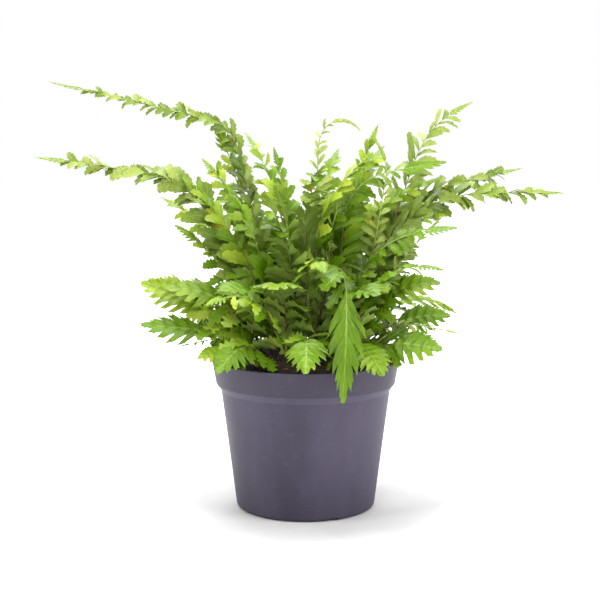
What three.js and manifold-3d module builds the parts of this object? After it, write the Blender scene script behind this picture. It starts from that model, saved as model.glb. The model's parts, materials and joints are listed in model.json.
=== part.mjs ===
// A young fern in a plastic nursery pot, in millimetres, +Z up. The origin is the middle of the pot's
// base, on the surface that it stands on; -Y is the side that is seen first. Every frond grows from the
// crown along a bent rachis. Its blade is one toothed, keeled sheet with a point for each pair of
// leaflets, and it leans aside until it is clear of what grew before it.
import * as THREE from "three";
import { mergeVertices } from "three/addons/utils/BufferGeometryUtils.js";
import Module from "manifold-3d";

const wasm = await Module();
wasm.setup();

// ---------------------------------------------------------------- driving dimensions

const POT = {
  height: 96,
  rimRadius: 60, // outside, at the lip
  collarHeight: 15.5,
  collarDraft: 2.6, // the collar narrows by this much, from the lip to where it ends
  shoulderHeight: 4.5, // the collar draws in to the body over this height
  shoulderWidth: 3.2, // and by this much
  bodyDraft: 9.4, // the body narrows by this much, from the shoulder to the rounded foot
  footRounding: 3.4,
  wall: 1.3,
  floor: 1.6,
  lipRounding: 0.65,
  segments: 56,
};
const BASE = {
  padRadius: 12, // the middle of the floor stands on the ground
  ringWidth: 7, // so does this ring round the edge
  recess: 2.4, // between them the floor is raised by this much
  recessEdge: 1.6,
  drainHoles: 8,
  drainHoleRadius: 3.1,
  notches: 4, // cut through the foot ring, so that water can run out
  notchWidth: 7,
  notchHeight: 1.5,
};
const SOIL = {
  headspace: 7.5, // from the lip down to the soil at the wall
  mound: 2.5, // the soil rises by this much to the middle
  rings: 4,
  segments: 40,
  unevenness: 0.5,
};
const CROWN = { radius: 34, height: 7, segments: 32, rings: 5, buds: 110, budSpread: 0.94 };
const STALK = { baseRadius: 1.25, tipRadius: 0.35, steps: 5 };
const CLEARANCE = 0.3; // least gap between two pieces

// Blade shapes. start: where the leaflets begin, as a share of the rachis. pairs: pairs of leaflets. tail:
// the last share of the blade, where the leaflets are joined into a toothed tip. sweep: how far a leaflet
// leans forward, as a share of its length, at the blade's foot and at its tip. droop: how far its point
// hangs below the rachis.
const KINDS = {
  arching: { start: 0.4, pairs: 10, halfWidth: 19, tail: 0.26, sweep: [0.3, 1.1], droop: 0.16 },
  broad: { start: 0.36, pairs: 8, halfWidth: 25, tail: 0.3, sweep: [0.35, 1], droop: 0.2 },
  leafy: { start: 0.42, pairs: 6, halfWidth: 20, tail: 0.5, sweep: [0.4, 1], droop: 0.15 },
  slender: { start: 0.45, pairs: 9, halfWidth: 11, tail: 0.2, sweep: [0.25, 0.9], droop: 0.1 },
};

// The fronds, in the order in which they grow. heading: compass direction in degrees from +X towards +Y.
// rise: how steeply it leaves the crown. bend: how far it turns downwards, between the two shares of its
// length in knee. swing: how far it turns sideways on its way. roll: how far the blade is turned about its
// rachis. length: from the crown to the tip. width: a share of the kind's width. root: where it wants to
// leave the crown, if not by its rise.
const FRONDS = [
  // long fronds that reach out of the clump
  ["long_frond_left", "arching",
    { heading: 182, rise: 65, bend: -57, knee: [0.38, 0.72], roll: -48,
      length: 218, width: 0.85 }],
  ["long_frond_left_upper", "arching",
    { heading: 176, rise: 77, bend: -64, knee: [0.48, 0.62], swing: 4, roll: -50,
      length: 266, width: 0.6 }],
  ["long_frond_right_upper", "arching",
    { heading: 4, rise: 71, bend: -46, knee: [0.66, 1], roll: 60,
      length: 187, width: 0.95, root: [25, 6] }],
  ["long_frond_right", "arching",
    { heading: -4, rise: 66, bend: -66, knee: [0.28, 0.8], roll: 42,
      length: 200, width: 0.85, root: [20, -6] }],
  ["long_frond_right_rear", "arching",
    { heading: 8, rise: 68, bend: -56, knee: [0.35, 0.82], swing: -6, roll: 40,
      length: 184, width: 0.85, root: [22, 8] }],
  // fronds that stand nearly upright in the middle
  ["inner_frond_left", "broad",
    { heading: 178, rise: 86, bend: -10, knee: [0.3, 1], roll: -74,
      length: 158, width: 0.85, root: [-20, 2] }],
  ["inner_frond_middle", "slender",
    { heading: 6, rise: 88, bend: -150, knee: [0.74, 1.04], roll: 70,
      length: 171, width: 1, root: [2, 4] }],
  ["inner_frond_right_stalk", "slender",
    { heading: 176, rise: 90, bend: -50, knee: [0.76, 1], roll: -60,
      length: 146, width: 0.9, root: [31, -8] }],
  ["upper_frond_right", "broad",
    { heading: -2, rise: 86, bend: -76, knee: [0.46, 0.82], roll: 58,
      length: 168, width: 0.85, root: [16, 0] }],
  ["upper_frond_right_lower", "arching",
    { heading: 4, rise: 78, bend: -56, knee: [0.4, 0.9], roll: 50,
      length: 142, width: 0.85, root: [24, 2] }],
  ["inner_frond_right", "arching",
    { heading: 10, rise: 88, bend: -16, knee: [0.3, 1], roll: 70,
      length: 152, width: 0.95, root: [12, 6] }],
  ["inner_frond_right_front", "broad",
    { heading: -30, rise: 88, bend: -40, knee: [0.4, 1], roll: 40,
      length: 128, width: 0.85, root: [14, -8] }],
  ["inner_frond_front", "broad",
    { heading: -110, rise: 88, bend: -44, knee: [0.4, 1], roll: -10,
      length: 118, width: 0.85, root: [-8, -12] }],
  ["inner_frond_left_front", "arching",
    { heading: -150, rise: 86, bend: -30, knee: [0.4, 1], roll: -50,
      length: 124, width: 0.9, root: [-18, -8] }],
  ["inner_frond_left_rear", "arching",
    { heading: 140, rise: 88, bend: -20, knee: [0.3, 1], roll: -40,
      length: 134, width: 0.9, root: [-12, 8] }],
  // low fronds round the rim
  ["low_frond_front", "leafy",
    { heading: -35, rise: 74, bend: -154, knee: [0.26, 0.72], swing: -75,
      length: 146, width: 0.9, root: [2, -12] }],
  ["low_frond_front_left", "leafy",
    { heading: -92, rise: 52, bend: -92, knee: [0.1, 1], roll: 6,
      length: 62, width: 0.8 }],
  ["low_frond_front_right", "leafy",
    { heading: -58, rise: 44, bend: -80, knee: [0.1, 1], roll: 10,
      length: 54, width: 0.8 }],
  ["low_frond_right_front", "leafy",
    { heading: -30, rise: 34, bend: -44, knee: [0, 0.9], swing: 10, roll: 34,
      length: 68, width: 1 }],
  ["low_frond_right", "leafy",
    { heading: -10, rise: 44, bend: -44, knee: [0.1, 1], swing: 4, roll: 36,
      length: 72, width: 0.85 }],
  ["low_frond_right_lower", "slender",
    { heading: -14, rise: 50, bend: -62, knee: [0, 0.8], swing: 6, roll: 30,
      length: 82, width: 0.9 }],
  ["low_frond_left_front", "leafy",
    { heading: -126, rise: 44, bend: -80, knee: [0.1, 1], roll: -12,
      length: 54, width: 0.8 }],
  ["low_frond_left_rim", "leafy",
    { heading: -152, rise: 34, bend: -44, knee: [0, 0.8], swing: -6, roll: -14,
      length: 46, width: 0.85 }],
  ["low_frond_left", "leafy",
    { heading: 184, rise: 50, bend: -32, knee: [0, 1], roll: -50,
      length: 92, width: 0.9 }],
  ["low_frond_left_lower", "leafy",
    { heading: 190, rise: 44, bend: -36, knee: [0, 0.6], roll: -44,
      length: 84, width: 0.75 }],
  ["low_frond_left_tip", "slender",
    { heading: 196, rise: 36, bend: -46, knee: [0, 0.8], roll: -20,
      length: 62, width: 0.7 }],
  ["low_frond_rear_right", "leafy",
    { heading: 28, rise: 50, bend: -76, knee: [0, 1], swing: 6, roll: 10,
      length: 108, width: 0.9 }],
  ["low_frond_rear", "broad",
    { heading: 66, rise: 50, bend: -84, knee: [0, 1], swing: -6, roll: 5,
      length: 104, width: 0.85 }],
  ["low_frond_rear_middle", "broad",
    { heading: 104, rise: 46, bend: -80, knee: [0, 1], swing: 4, roll: -5,
      length: 98, width: 0.85 }],
  ["low_frond_rear_left", "leafy",
    { heading: 140, rise: 50, bend: -70, knee: [0, 1], swing: 6,
      length: 92, width: 0.9 }],
  ["low_frond_middle_front", "leafy",
    { heading: -100, rise: 70, bend: -84, knee: [0.3, 1],
      length: 84, width: 1, root: [-8, -18] }],
  ["low_frond_middle_left", "leafy",
    { heading: -132, rise: 66, bend: -72, knee: [0.3, 1], roll: -16,
      length: 80, width: 1, root: [-18, -14] }],
  ["low_frond_middle_right", "leafy",
    { heading: -58, rise: 66, bend: -72, knee: [0.3, 1], roll: 14,
      length: 80, width: 1, root: [16, -16] }],
  ["low_frond_left_inner", "leafy",
    { heading: -164, rise: 58, bend: -58, knee: [0.2, 1], roll: -34,
      length: 84, width: 0.95, root: [-26, -4] }],
  ["low_frond_right_inner", "leafy",
    { heading: -20, rise: 62, bend: -58, knee: [0.2, 1], roll: 34,
      length: 84, width: 0.95, root: [24, -8] }],
  ["low_frond_middle_rear", "leafy",
    { heading: 92, rise: 64, bend: -74, knee: [0.2, 1],
      length: 86, width: 1, root: [0, 20] }],
  // upper fronds
  ["upper_frond_front", "arching",
    { heading: -84, rise: 84, bend: -66, knee: [0.4, 1], roll: 12,
      length: 138, width: 0.95 }],
  ["upper_frond_right_front", "arching",
    { heading: -44, rise: 82, bend: -50, knee: [0.3, 1], swing: 10, roll: 30,
      length: 144, width: 1 }],
  ["upper_frond_right_rear", "arching",
    { heading: 40, rise: 82, bend: -40, knee: [0.3, 1], roll: 30,
      length: 150, width: 1 }],
  ["upper_frond_rear", "arching",
    { heading: 76, rise: 80, bend: -46, knee: [0.3, 1], swing: -8,
      length: 154, width: 1.05 }],
  ["upper_frond_rear_left", "arching",
    { heading: 118, rise: 80, bend: -40, knee: [0.3, 1], swing: 8,
      length: 160, width: 1 }],
  ["upper_frond_left_rear", "arching",
    { heading: 150, rise: 78, bend: -34, knee: [0.3, 1], roll: -40,
      length: 142, width: 1 }],
  ["upper_frond_left", "arching",
    { heading: -178, rise: 76, bend: -26, knee: [0.3, 1], roll: -60,
      length: 132, width: 1 }],
  ["upper_frond_left_front", "arching",
    { heading: -130, rise: 80, bend: -50, knee: [0.3, 1], swing: -6, roll: -30,
      length: 128, width: 0.95 }],
  // middle fronds
  ["middle_frond_right", "slender",
    { heading: -14, rise: 60, bend: -14, knee: [0.2, 1], swing: 8, roll: 40,
      length: 114, width: 1.05, root: [31, -4] }],
  ["middle_frond_right_leaf", "leafy",
    { heading: -10, rise: 72, bend: -62, knee: [0.3, 0.9], roll: 40,
      length: 130, width: 0.85 }],
  ["middle_frond_front", "broad",
    { heading: -90, rise: 76, bend: -96, knee: [0.3, 1], swing: 6, roll: 8,
      length: 104, width: 0.85 }],
  ["middle_frond_right_front", "broad",
    { heading: -52, rise: 72, bend: -70, knee: [0.3, 1], swing: 6, roll: 10,
      length: 112, width: 0.85 }],
  ["middle_frond_right_rear", "arching",
    { heading: 26, rise: 72, bend: -60, knee: [0.2, 1], swing: 4, roll: 24,
      length: 138, width: 1 }],
  ["middle_frond_rear_right", "broad",
    { heading: 54, rise: 70, bend: -66, knee: [0.2, 1],
      length: 138, width: 0.8 }],
  ["middle_frond_rear", "arching",
    { heading: 86, rise: 72, bend: -62, knee: [0.2, 1], swing: -8,
      length: 150, width: 1.1 }],
  ["middle_frond_rear_left", "broad",
    { heading: 120, rise: 70, bend: -66, knee: [0.2, 1], swing: 8, roll: 6,
      length: 138, width: 0.8 }],
  ["middle_frond_left_rear", "arching",
    { heading: 160, rise: 66, bend: -40, knee: [0.2, 1], roll: -30,
      length: 134, width: 1 }],
  ["middle_frond_left", "broad",
    { heading: -174, rise: 66, bend: -34, knee: [0.2, 1], roll: -44,
      length: 106, width: 0.85 }],
  ["middle_frond_left_front", "broad",
    { heading: -126, rise: 66, bend: -72, knee: [0.2, 1], swing: -8, roll: -12,
      length: 96, width: 0.85 }],
];

// ---------------------------------------------------------------- helpers

const radians = THREE.MathUtils.degToRad;

// Closed skin over rings of points that all have the same count and turn the same way seen from the far
// end.
function skin(rings) {
  const count = rings[0].length;
  const positions = rings.flat().flatMap((p) => [p.x, p.y, p.z]);
  const indices = [];
  for (let r = 0; r + 1 < rings.length; r++) {
    for (let i = 0; i < count; i++) {
      const a = r * count + i;
      const b = r * count + ((i + 1) % count);
      indices.push(a, b, a + count, b, b + count, a + count);
    }
  }
  const last = (rings.length - 1) * count;
  for (let i = 1; i + 1 < count; i++) {
    indices.push(0, i + 1, i);
    indices.push(last, last + i, last + i + 1);
  }
  return new THREE.BufferGeometry()
    .setAttribute("position", new THREE.Float32BufferAttribute(positions, 3))
    .setIndex(indices);
}

function toManifold(geometry) {
  const corners = geometry.toNonIndexed().getAttribute("position");
  const bare = new THREE.BufferGeometry().setAttribute("position", corners);
  const merged = mergeVertices(bare, 1e-4);
  return new wasm.Manifold(
    new wasm.Mesh({
      numProp: 3,
      vertProperties: merged.attributes.position.array,
      triVerts: new Uint32Array(merged.index.array),
    }),
  );
}

function toGeometry(manifold) {
  const mesh = manifold.getMesh();
  const positions = new Float32Array(mesh.numVert * 3);
  for (let i = 0; i < mesh.numVert; i++) {
    positions.set(mesh.vertProperties.subarray(i * mesh.numProp, i * mesh.numProp + 3), i * 3);
  }
  return new THREE.BufferGeometry()
    .setAttribute("position", new THREE.BufferAttribute(positions, 3))
    .setIndex(new THREE.BufferAttribute(mesh.triVerts, 1));
}

// A lathe turned about Z: the profile holds [radius, height] pairs.
function lathe(profile, segments) {
  const points = profile.map(([radius, height]) => new THREE.Vector2(radius, height));
  return new THREE.LatheGeometry(points, segments).rotateX(Math.PI / 2);
}

// Points of an arc about (radius, height), from one angle to another, in degrees.
function arc(radius, height, size, from, to, steps) {
  return Array.from({ length: steps + 1 }, (_, i) => {
    const angle = radians(from + ((to - from) * i) / steps);
    return [radius + size * Math.cos(angle), height + size * Math.sin(angle)];
  });
}

// ---------------------------------------------------------------- pot

const bodyTop = POT.height - POT.collarHeight - POT.shoulderHeight;
const collarFoot = POT.height - POT.collarHeight;

// Outside radii where the collar ends, under the shoulder, and above the rounded foot.
const collarFootRadius = POT.rimRadius - POT.collarDraft;
const bodyRadius = collarFootRadius - POT.shoulderWidth;
const footRadius = bodyRadius - POT.bodyDraft;
const bodySlope = POT.bodyDraft / (bodyTop - POT.footRounding);

// Outside radius of the body, below the shoulder.
function bodyRadiusAt(height) {
  return footRadius + bodySlope * (height - POT.footRounding);
}

function potProfile() {
  const floorTop = BASE.recess + POT.floor;
  const recessInner = BASE.padRadius;
  const recessOuter = footRadius - BASE.ringWidth;
  const lip = POT.lipRounding;
  return [
    // underside: pad, recess and foot ring
    [0, 0],
    [recessInner, 0],
    [recessInner + BASE.recessEdge, BASE.recess],
    [recessOuter - BASE.recessEdge, BASE.recess],
    [recessOuter, 0],
    // outside: rounded foot, body, shoulder, collar and lip
    ...arc(footRadius - POT.footRounding, POT.footRounding, POT.footRounding, -90, 0, 4),
    [bodyRadius, bodyTop],
    [bodyRadius + 0.4 * POT.shoulderWidth, bodyTop + 0.2 * POT.shoulderHeight],
    [bodyRadius + 0.85 * POT.shoulderWidth, bodyTop + 0.6 * POT.shoulderHeight],
    [collarFootRadius, collarFoot],
    ...arc(POT.rimRadius - lip, POT.height - lip, lip, 0, 180, 4),
    // inside: collar, shoulder, body and floor
    [collarFootRadius - POT.wall, collarFoot],
    [bodyRadius - POT.wall, bodyTop],
    [bodyRadiusAt(floorTop) - POT.wall, floorTop],
    [0, floorTop],
  ];
}

function buildPot() {
  let pot = toManifold(lathe(potProfile(), POT.segments));
  const holeCircle = (BASE.padRadius + footRadius - BASE.ringWidth) / 2;
  for (let i = 0; i < BASE.drainHoles; i++) {
    const angle = (2 * Math.PI * (i + 0.5)) / BASE.drainHoles;
    const drill = new THREE.CylinderGeometry(BASE.drainHoleRadius, BASE.drainHoleRadius, 4 * BASE.recess, 12)
      .rotateX(Math.PI / 2)
      .translate(holeCircle * Math.cos(angle), holeCircle * Math.sin(angle), BASE.recess);
    pot = pot.subtract(toManifold(drill));
  }
  for (let i = 0; i < BASE.notches; i++) {
    const cutter = new THREE.BoxGeometry(3 * BASE.ringWidth, BASE.notchWidth, 2 * BASE.notchHeight)
      .translate(footRadius - POT.footRounding / 2, 0, 0)
      .rotateZ((2 * Math.PI * (i + 0.25)) / BASE.notches);
    pot = pot.subtract(toManifold(cutter));
  }
  return toGeometry(pot);
}

// ---------------------------------------------------------------- soil and crown

const soilEdge = POT.height - SOIL.headspace;

// Height of the soil's smooth surface, which is level under the crown and falls from there to the wall.
function soilHeight(radius) {
  const share = THREE.MathUtils.clamp((radius - CROWN.radius) / (bodyRadius - CROWN.radius), 0, 1);
  return soilEdge + SOIL.mound * (1 - share * share);
}

// The soil fills the pot up to its uneven surface.
function buildSoil() {
  const bottom = BASE.recess + POT.floor + CLEARANCE;
  const inside = (height) => bodyRadiusAt(height) - POT.wall - CLEARANCE;
  // the middle of a facet lies nearer the axis than its corners, and both have to be cleared
  const facet = Math.cos(Math.PI / POT.segments);
  const collarInside = (height) => {
    const share = (height - collarFoot) / (POT.height - collarFoot);
    const wallRadius = THREE.MathUtils.lerp(collarFootRadius, POT.rimRadius, share) - POT.wall;
    return (wallRadius - CLEARANCE) * facet;
  };
  const wallProfile = [
    [inside(bottom) * facet, bottom],
    [inside(bodyTop) * facet, bodyTop],
    [(collarFootRadius - POT.wall - CLEARANCE) * facet, collarFoot],
    [collarInside(soilEdge), soilEdge],
  ];
  const ringAt = (radius, height, uneven) =>
    Array.from({ length: SOIL.segments }, (_, i) => {
      const angle = (2 * Math.PI * i) / SOIL.segments;
      const wave = Math.sin(5 * angle + radius) * Math.cos(3 * angle + 0.4 * radius);
      return new THREE.Vector3(radius * Math.cos(angle), radius * Math.sin(angle), height + uneven * wave);
    });
  const rings = wallProfile.map(([radius, height]) => ringAt(radius, height, 0));
  for (let i = 1; i <= SOIL.rings; i++) {
    const radius = collarInside(soilEdge) * (1 - i / (SOIL.rings + 0.6));
    rings.push(ringAt(radius, soilHeight(radius), radius > CROWN.radius ? SOIL.unevenness : 0));
  }
  return skin(rings);
}

const crownFoot = soilHeight(0) + CLEARANCE;

// Height of the crown's surface over its foot.
function crownHeight(radius) {
  const share = Math.min(1, radius / CROWN.radius);
  return crownFoot + CROWN.height * Math.sqrt(1 - share * share);
}

function buildCrown() {
  const profile = [[0, crownFoot]];
  for (let i = 0; i <= CROWN.rings; i++) {
    const angle = (Math.PI / 2) * (i / CROWN.rings);
    profile.push([CROWN.radius * Math.cos(angle), crownFoot + CROWN.height * Math.sin(angle)]);
  }
  return lathe(profile, CROWN.segments);
}

// ---------------------------------------------------------------- fronds

// Bud sites on the crown, spread evenly in a spiral; each stalk has one to itself.
const GOLDEN_ANGLE = radians(137.508);
const sites = Array.from({ length: CROWN.buds }, (_, i) => {
  const radius = CROWN.budSpread * CROWN.radius * Math.sqrt((i + 0.5) / CROWN.buds);
  return { x: radius * Math.cos(i * GOLDEN_ANGLE), y: radius * Math.sin(i * GOLDEN_ANGLE) };
});

// Unit vector at an elevation above the horizon and a compass direction, both in radians.
function direction(elevation, azimuth) {
  return new THREE.Vector3(
    Math.cos(elevation) * Math.cos(azimuth),
    Math.cos(elevation) * Math.sin(azimuth),
    Math.sin(elevation),
  );
}

// The start of a stalk's middle line: off the crown by the clearance and by the tilt of the stalk's end.
function rootOn(site, { heading, rise }) {
  const height = crownHeight(Math.hypot(site.x, site.y));
  const outward = new THREE.Vector3(site.x, site.y, (height - crownFoot) * (CROWN.radius / CROWN.height) ** 2);
  outward.normalize();
  const tilt = outward.angleTo(direction(radians(rise), radians(heading)));
  const lift = 1.1 * CLEARANCE + STALK.baseRadius * Math.sin(tilt);
  return new THREE.Vector3(site.x, site.y, height).addScaledVector(outward, lift);
}

// The free sites, nearest first to the place wished for: steep stalks start near the middle, flat ones at
// the edge.
function freeSites({ heading, rise, root }) {
  const radius = CROWN.radius * THREE.MathUtils.clamp(0.95 - (0.8 * (rise - 50)) / 38, 0.1, 0.95);
  const wish = root ?? [radius * Math.cos(radians(heading)), radius * Math.sin(radians(heading))];
  const away = (site) => Math.hypot(site.x - wish[0], site.y - wish[1]);
  return [...sites].sort((a, b) => away(a) - away(b));
}

const RACHIS_STEPS = 60;

// The rachis as frames along its length: a point, the way it runs, and the blade's left and upper
// directions.
function rachisFrames(root, { heading, rise, bend, knee, swing = 0, roll = 0, length }) {
  const frames = [];
  const point = root.clone();
  for (let i = 0; i <= RACHIS_STEPS; i++) {
    const share = i / RACHIS_STEPS;
    const elevation = radians(rise + bend * THREE.MathUtils.smoothstep(share, knee[0], knee[1]));
    const azimuth = radians(heading + swing * share);
    const along = direction(elevation, azimuth);
    const level = new THREE.Vector3(-Math.sin(azimuth), Math.cos(azimuth), 0);
    const left = level.applyAxisAngle(along, radians(roll) * Math.min(1, 2 * share));
    frames.push({ point: point.clone(), along, left, upper: along.clone().cross(left) });
    point.addScaledVector(along, length / RACHIS_STEPS);
  }
  return frames;
}

// Length of a leaflet as a share of the longest one, from the blade's foot (0) to its tip (1).
function leafletLength(share, tail) {
  const body = 1 - tail;
  if (share < body) {
    const rise = 0.72 + 0.28 * Math.min(1, share / 0.2);
    return rise * (1 - 0.62 * Math.pow(share / body, 1.6));
  }
  return 0.3 * (1 - (share - body) / tail) + 0.04;
}

// One ring of the frond's keeled section: left edge, rachis above, right edge, rachis below.
function ring(frames, share, halfWidth, thickness, sweep, droop) {
  const at = Math.min(RACHIS_STEPS, Math.round(share * RACHIS_STEPS));
  const { point, along, left, upper } = frames[at];
  const edge = (side) =>
    point
      .clone()
      .addScaledVector(left, side * halfWidth)
      .addScaledVector(along, sweep * halfWidth)
      .addScaledVector(upper, -droop * halfWidth);
  return [
    edge(1),
    point.clone().addScaledVector(upper, thickness / 2),
    edge(-1),
    point.clone().addScaledVector(upper, -thickness / 2),
  ];
}

function frondGeometry(kind, root, form) {
  const blade = KINDS[kind];
  const frames = rachisFrames(root, form);
  const stalk = (share) => THREE.MathUtils.lerp(STALK.baseRadius, STALK.tipRadius, share);
  const rings = [];
  for (let i = 0; i < STALK.steps; i++) {
    const share = (blade.start * i) / STALK.steps;
    rings.push(ring(frames, share, stalk(share), 2 * stalk(share), 0, 0));
  }
  for (let i = 0; i < blade.pairs; i++) {
    const along = i / blade.pairs;
    const notch = blade.start + (1 - blade.start) * along;
    const point = blade.start + (1 - blade.start) * (along + 0.45 / blade.pairs);
    const length = blade.halfWidth * form.width * leafletLength(along, blade.tail);
    const lean = THREE.MathUtils.lerp(blade.sweep[0], blade.sweep[1], along);
    rings.push(ring(frames, notch, stalk(notch) + 0.1 * length, 2 * stalk(notch), 0, 0));
    rings.push(ring(frames, point, length, 1.6 * stalk(point), lean, blade.droop));
  }
  rings.push(ring(frames, 1, STALK.tipRadius, STALK.tipRadius, 0, 0));
  return skin(rings);
}

// ---------------------------------------------------------------- growing clear of each other

// Leans to try, in degrees about the root: sideways round the compass, and up or down. The smallest come
// first.
const LEANS = [];
for (let sideways = -24; sideways <= 24; sideways += 2) {
  for (let upward = -12; upward <= 12; upward += 2) {
    LEANS.push({ sideways, upward, size: Math.hypot(sideways, 1.6 * upward) });
  }
}
LEANS.sort((a, b) => a.size - b.size);

function leaned(geometry, root, heading, lean) {
  const azimuth = radians(heading);
  const hinge = new THREE.Vector3(Math.sin(azimuth), -Math.cos(azimuth), 0);
  return geometry
    .clone()
    .translate(-root.x, -root.y, -root.z)
    .applyMatrix4(new THREE.Matrix4().makeRotationAxis(hinge, radians(lean.upward)))
    .applyMatrix4(new THREE.Matrix4().makeRotationZ(radians(lean.sideways)))
    .translate(root.x, root.y, root.z);
}

function boxesMeet(a, b) {
  return [0, 1, 2].every((k) => a.min[k] - CLEARANCE <= b.max[k] && b.min[k] - CLEARANCE <= a.max[k]);
}

const grown = []; // what already stands, as solids with their boxes

function isClear(solid) {
  const box = solid.boundingBox();
  const near = grown.filter((other) => boxesMeet(box, other.box));
  return near.every((other) => solid.minGap(other.solid, CLEARANCE) >= CLEARANCE);
}

function stand(solid) {
  grown.push({ solid, box: solid.boundingBox() });
}

// The geometry on the nearest site, and with the smallest lean, that keep it clear of everything that
// already stands.
function growClear(name, form, geometryAt) {
  for (const site of freeSites(form)) {
    const root = rootOn(site, form);
    const upright = geometryAt(root);
    for (const lean of LEANS) {
      const candidate = leaned(upright, root, form.heading, lean);
      const solid = toManifold(candidate);
      if (isClear(solid)) {
        stand(solid);
        sites.splice(sites.indexOf(site), 1);
        return candidate;
      }
    }
  }
  throw new Error(`${name} finds no room`);
}

// ---------------------------------------------------------------- assembly

const material = (color, roughness) => new THREE.MeshStandardMaterial({ color, roughness, metalness: 0 });
const FINISH = {
  pot: material(0x57545f, 0.55),
  soil: material(0x2a211b, 0.95),
  crown: material(0x3a2a1e, 0.9),
  frond: material(0x76a82a, 0.5),
};

const fern = new THREE.Group();

function place(name, geometry, finish) {
  const mesh = new THREE.Mesh(geometry, finish);
  mesh.name = name;
  fern.add(mesh);
}

place("nursery_pot", buildPot(), FINISH.pot);
place("potting_soil", buildSoil(), FINISH.soil);
place("crown", buildCrown(), FINISH.crown);
fern.children.forEach((mesh) => stand(toManifold(mesh.geometry)));

for (const [name, kind, form] of FRONDS) {
  place(name, growClear(name, form, (root) => frondGeometry(kind, root, form)), FINISH.frond);
}

export default fern;
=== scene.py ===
import json
import math
import random
from contextlib import contextmanager

import bmesh
import bpy
import numpy as np
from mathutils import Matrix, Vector, noise

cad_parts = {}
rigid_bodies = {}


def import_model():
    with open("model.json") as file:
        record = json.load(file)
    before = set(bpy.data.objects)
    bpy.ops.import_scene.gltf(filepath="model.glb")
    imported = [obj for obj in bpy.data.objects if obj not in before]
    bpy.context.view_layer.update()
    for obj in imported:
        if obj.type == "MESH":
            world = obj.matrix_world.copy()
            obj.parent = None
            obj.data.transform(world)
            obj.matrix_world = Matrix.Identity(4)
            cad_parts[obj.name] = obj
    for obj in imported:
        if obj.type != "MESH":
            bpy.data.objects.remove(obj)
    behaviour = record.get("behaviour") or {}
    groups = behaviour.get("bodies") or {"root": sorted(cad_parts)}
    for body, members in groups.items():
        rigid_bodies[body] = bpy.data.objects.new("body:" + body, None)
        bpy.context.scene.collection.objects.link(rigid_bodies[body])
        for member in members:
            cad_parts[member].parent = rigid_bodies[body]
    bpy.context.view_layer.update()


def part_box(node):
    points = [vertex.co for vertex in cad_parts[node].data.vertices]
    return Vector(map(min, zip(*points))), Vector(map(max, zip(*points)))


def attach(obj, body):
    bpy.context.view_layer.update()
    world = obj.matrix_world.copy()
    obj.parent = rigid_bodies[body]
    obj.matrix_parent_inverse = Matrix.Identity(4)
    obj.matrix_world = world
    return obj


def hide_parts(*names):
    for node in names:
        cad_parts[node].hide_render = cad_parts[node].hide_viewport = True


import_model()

MM = 0.001
UP = np.array([0.0, 0.0, 1.0])

# ------------------------------------------------------------------ sizes

POT = {
    "height": 96, "rim_radius": 60, "collar_foot_radius": 57.5, "collar_height": 15,
    "shoulder_height": 5, "body_radius": 54.2, "foot_radius": 44.7, "foot_rounding": 3, "wall": 1.3,
    "floor": 1.6, "lip_rounding": 0.65, "segments": 192,
}
BASE = {
    "pad_radius": 12, "ring_width": 7, "recess": 2.4, "recess_edge": 1.6, "drain_holes": 8,
    "drain_hole_radius": 3.1, "notches": 4, "notch_width": 7, "notch_height": 1.5,
}
SOIL = {"headspace": 7.5, "mound": 2.5, "segments": 96, "rings": 30, "lumps": 1.3}
CROWN = {"radius": 34, "height": 7}
CAD_STALK = {"base_radius": 1.25, "tip_radius": 0.35, "steps": 5}
RACHIS_STEPS = 60
SEEDS = {
    "leaflets": 11, "crumbs": 5, "scales": 8, "strewn_crumbs": 31, "strewn_scales": 47, "fronds": 100,
}

# What a blade of each kind looks like. The first six are the frame's own plain blade; the rest is finer.
# leaf_start, tip_start: where the leaflets and the joined, lobed tip begin, as shares of the rachis.
# pinna: the longest leaflet, and tip_half: half the tip's width, as shares of half the blade's width.
# least: the last leaflet's length as a share of the longest. spacing: from pair to pair. lean: how far the
# leaflets lean forward at the blade's foot and at its tip, in radians.
KINDS = {
    "arching": {
        "start": 0.4, "pairs": 10, "half_width": 19, "tail": 0.26, "sweep": (0.3, 1.1), "droop": 0.16,
        "leaf_start": 0.09, "tip_start": 0.91, "pinna": 1.24, "least": 0.44, "spacing": 7.2,
        "lean": (0.6, 1.15), "tip_half": 0.15, "set": "toothed", "tip": "tip_tapering",
    },
    "broad": {
        "start": 0.36, "pairs": 8, "half_width": 25, "tail": 0.3, "sweep": (0.35, 1), "droop": 0.2,
        "leaf_start": 0.07, "tip_start": 0.84, "pinna": 1.04, "least": 0.36, "spacing": 8.2,
        "lean": (0.5, 1.0), "tip_half": 0.26, "set": "broad_toothed", "tip": "tip_pointed",
    },
    "leafy": {
        "start": 0.42, "pairs": 6, "half_width": 20, "tail": 0.5, "sweep": (0.4, 1), "droop": 0.15,
        "leaf_start": 0.06, "tip_start": 0.52, "pinna": 1.15, "least": 0.9, "spacing": 8.0,
        "lean": (0.5, 0.8), "tip_half": 0.78, "set": "lobed", "tip": "tip_lobed",
    },
    "slender": {
        "start": 0.45, "pairs": 9, "half_width": 11, "tail": 0.2, "sweep": (0.25, 0.9), "droop": 0.1,
        "leaf_start": 0.3, "tip_start": 0.88, "pinna": 1.05, "least": 0.3, "spacing": 5.4,
        "lean": (0.45, 0.9), "tip_half": 0.16, "set": "narrow", "tip": "tip_thin",
    },
}

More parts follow.
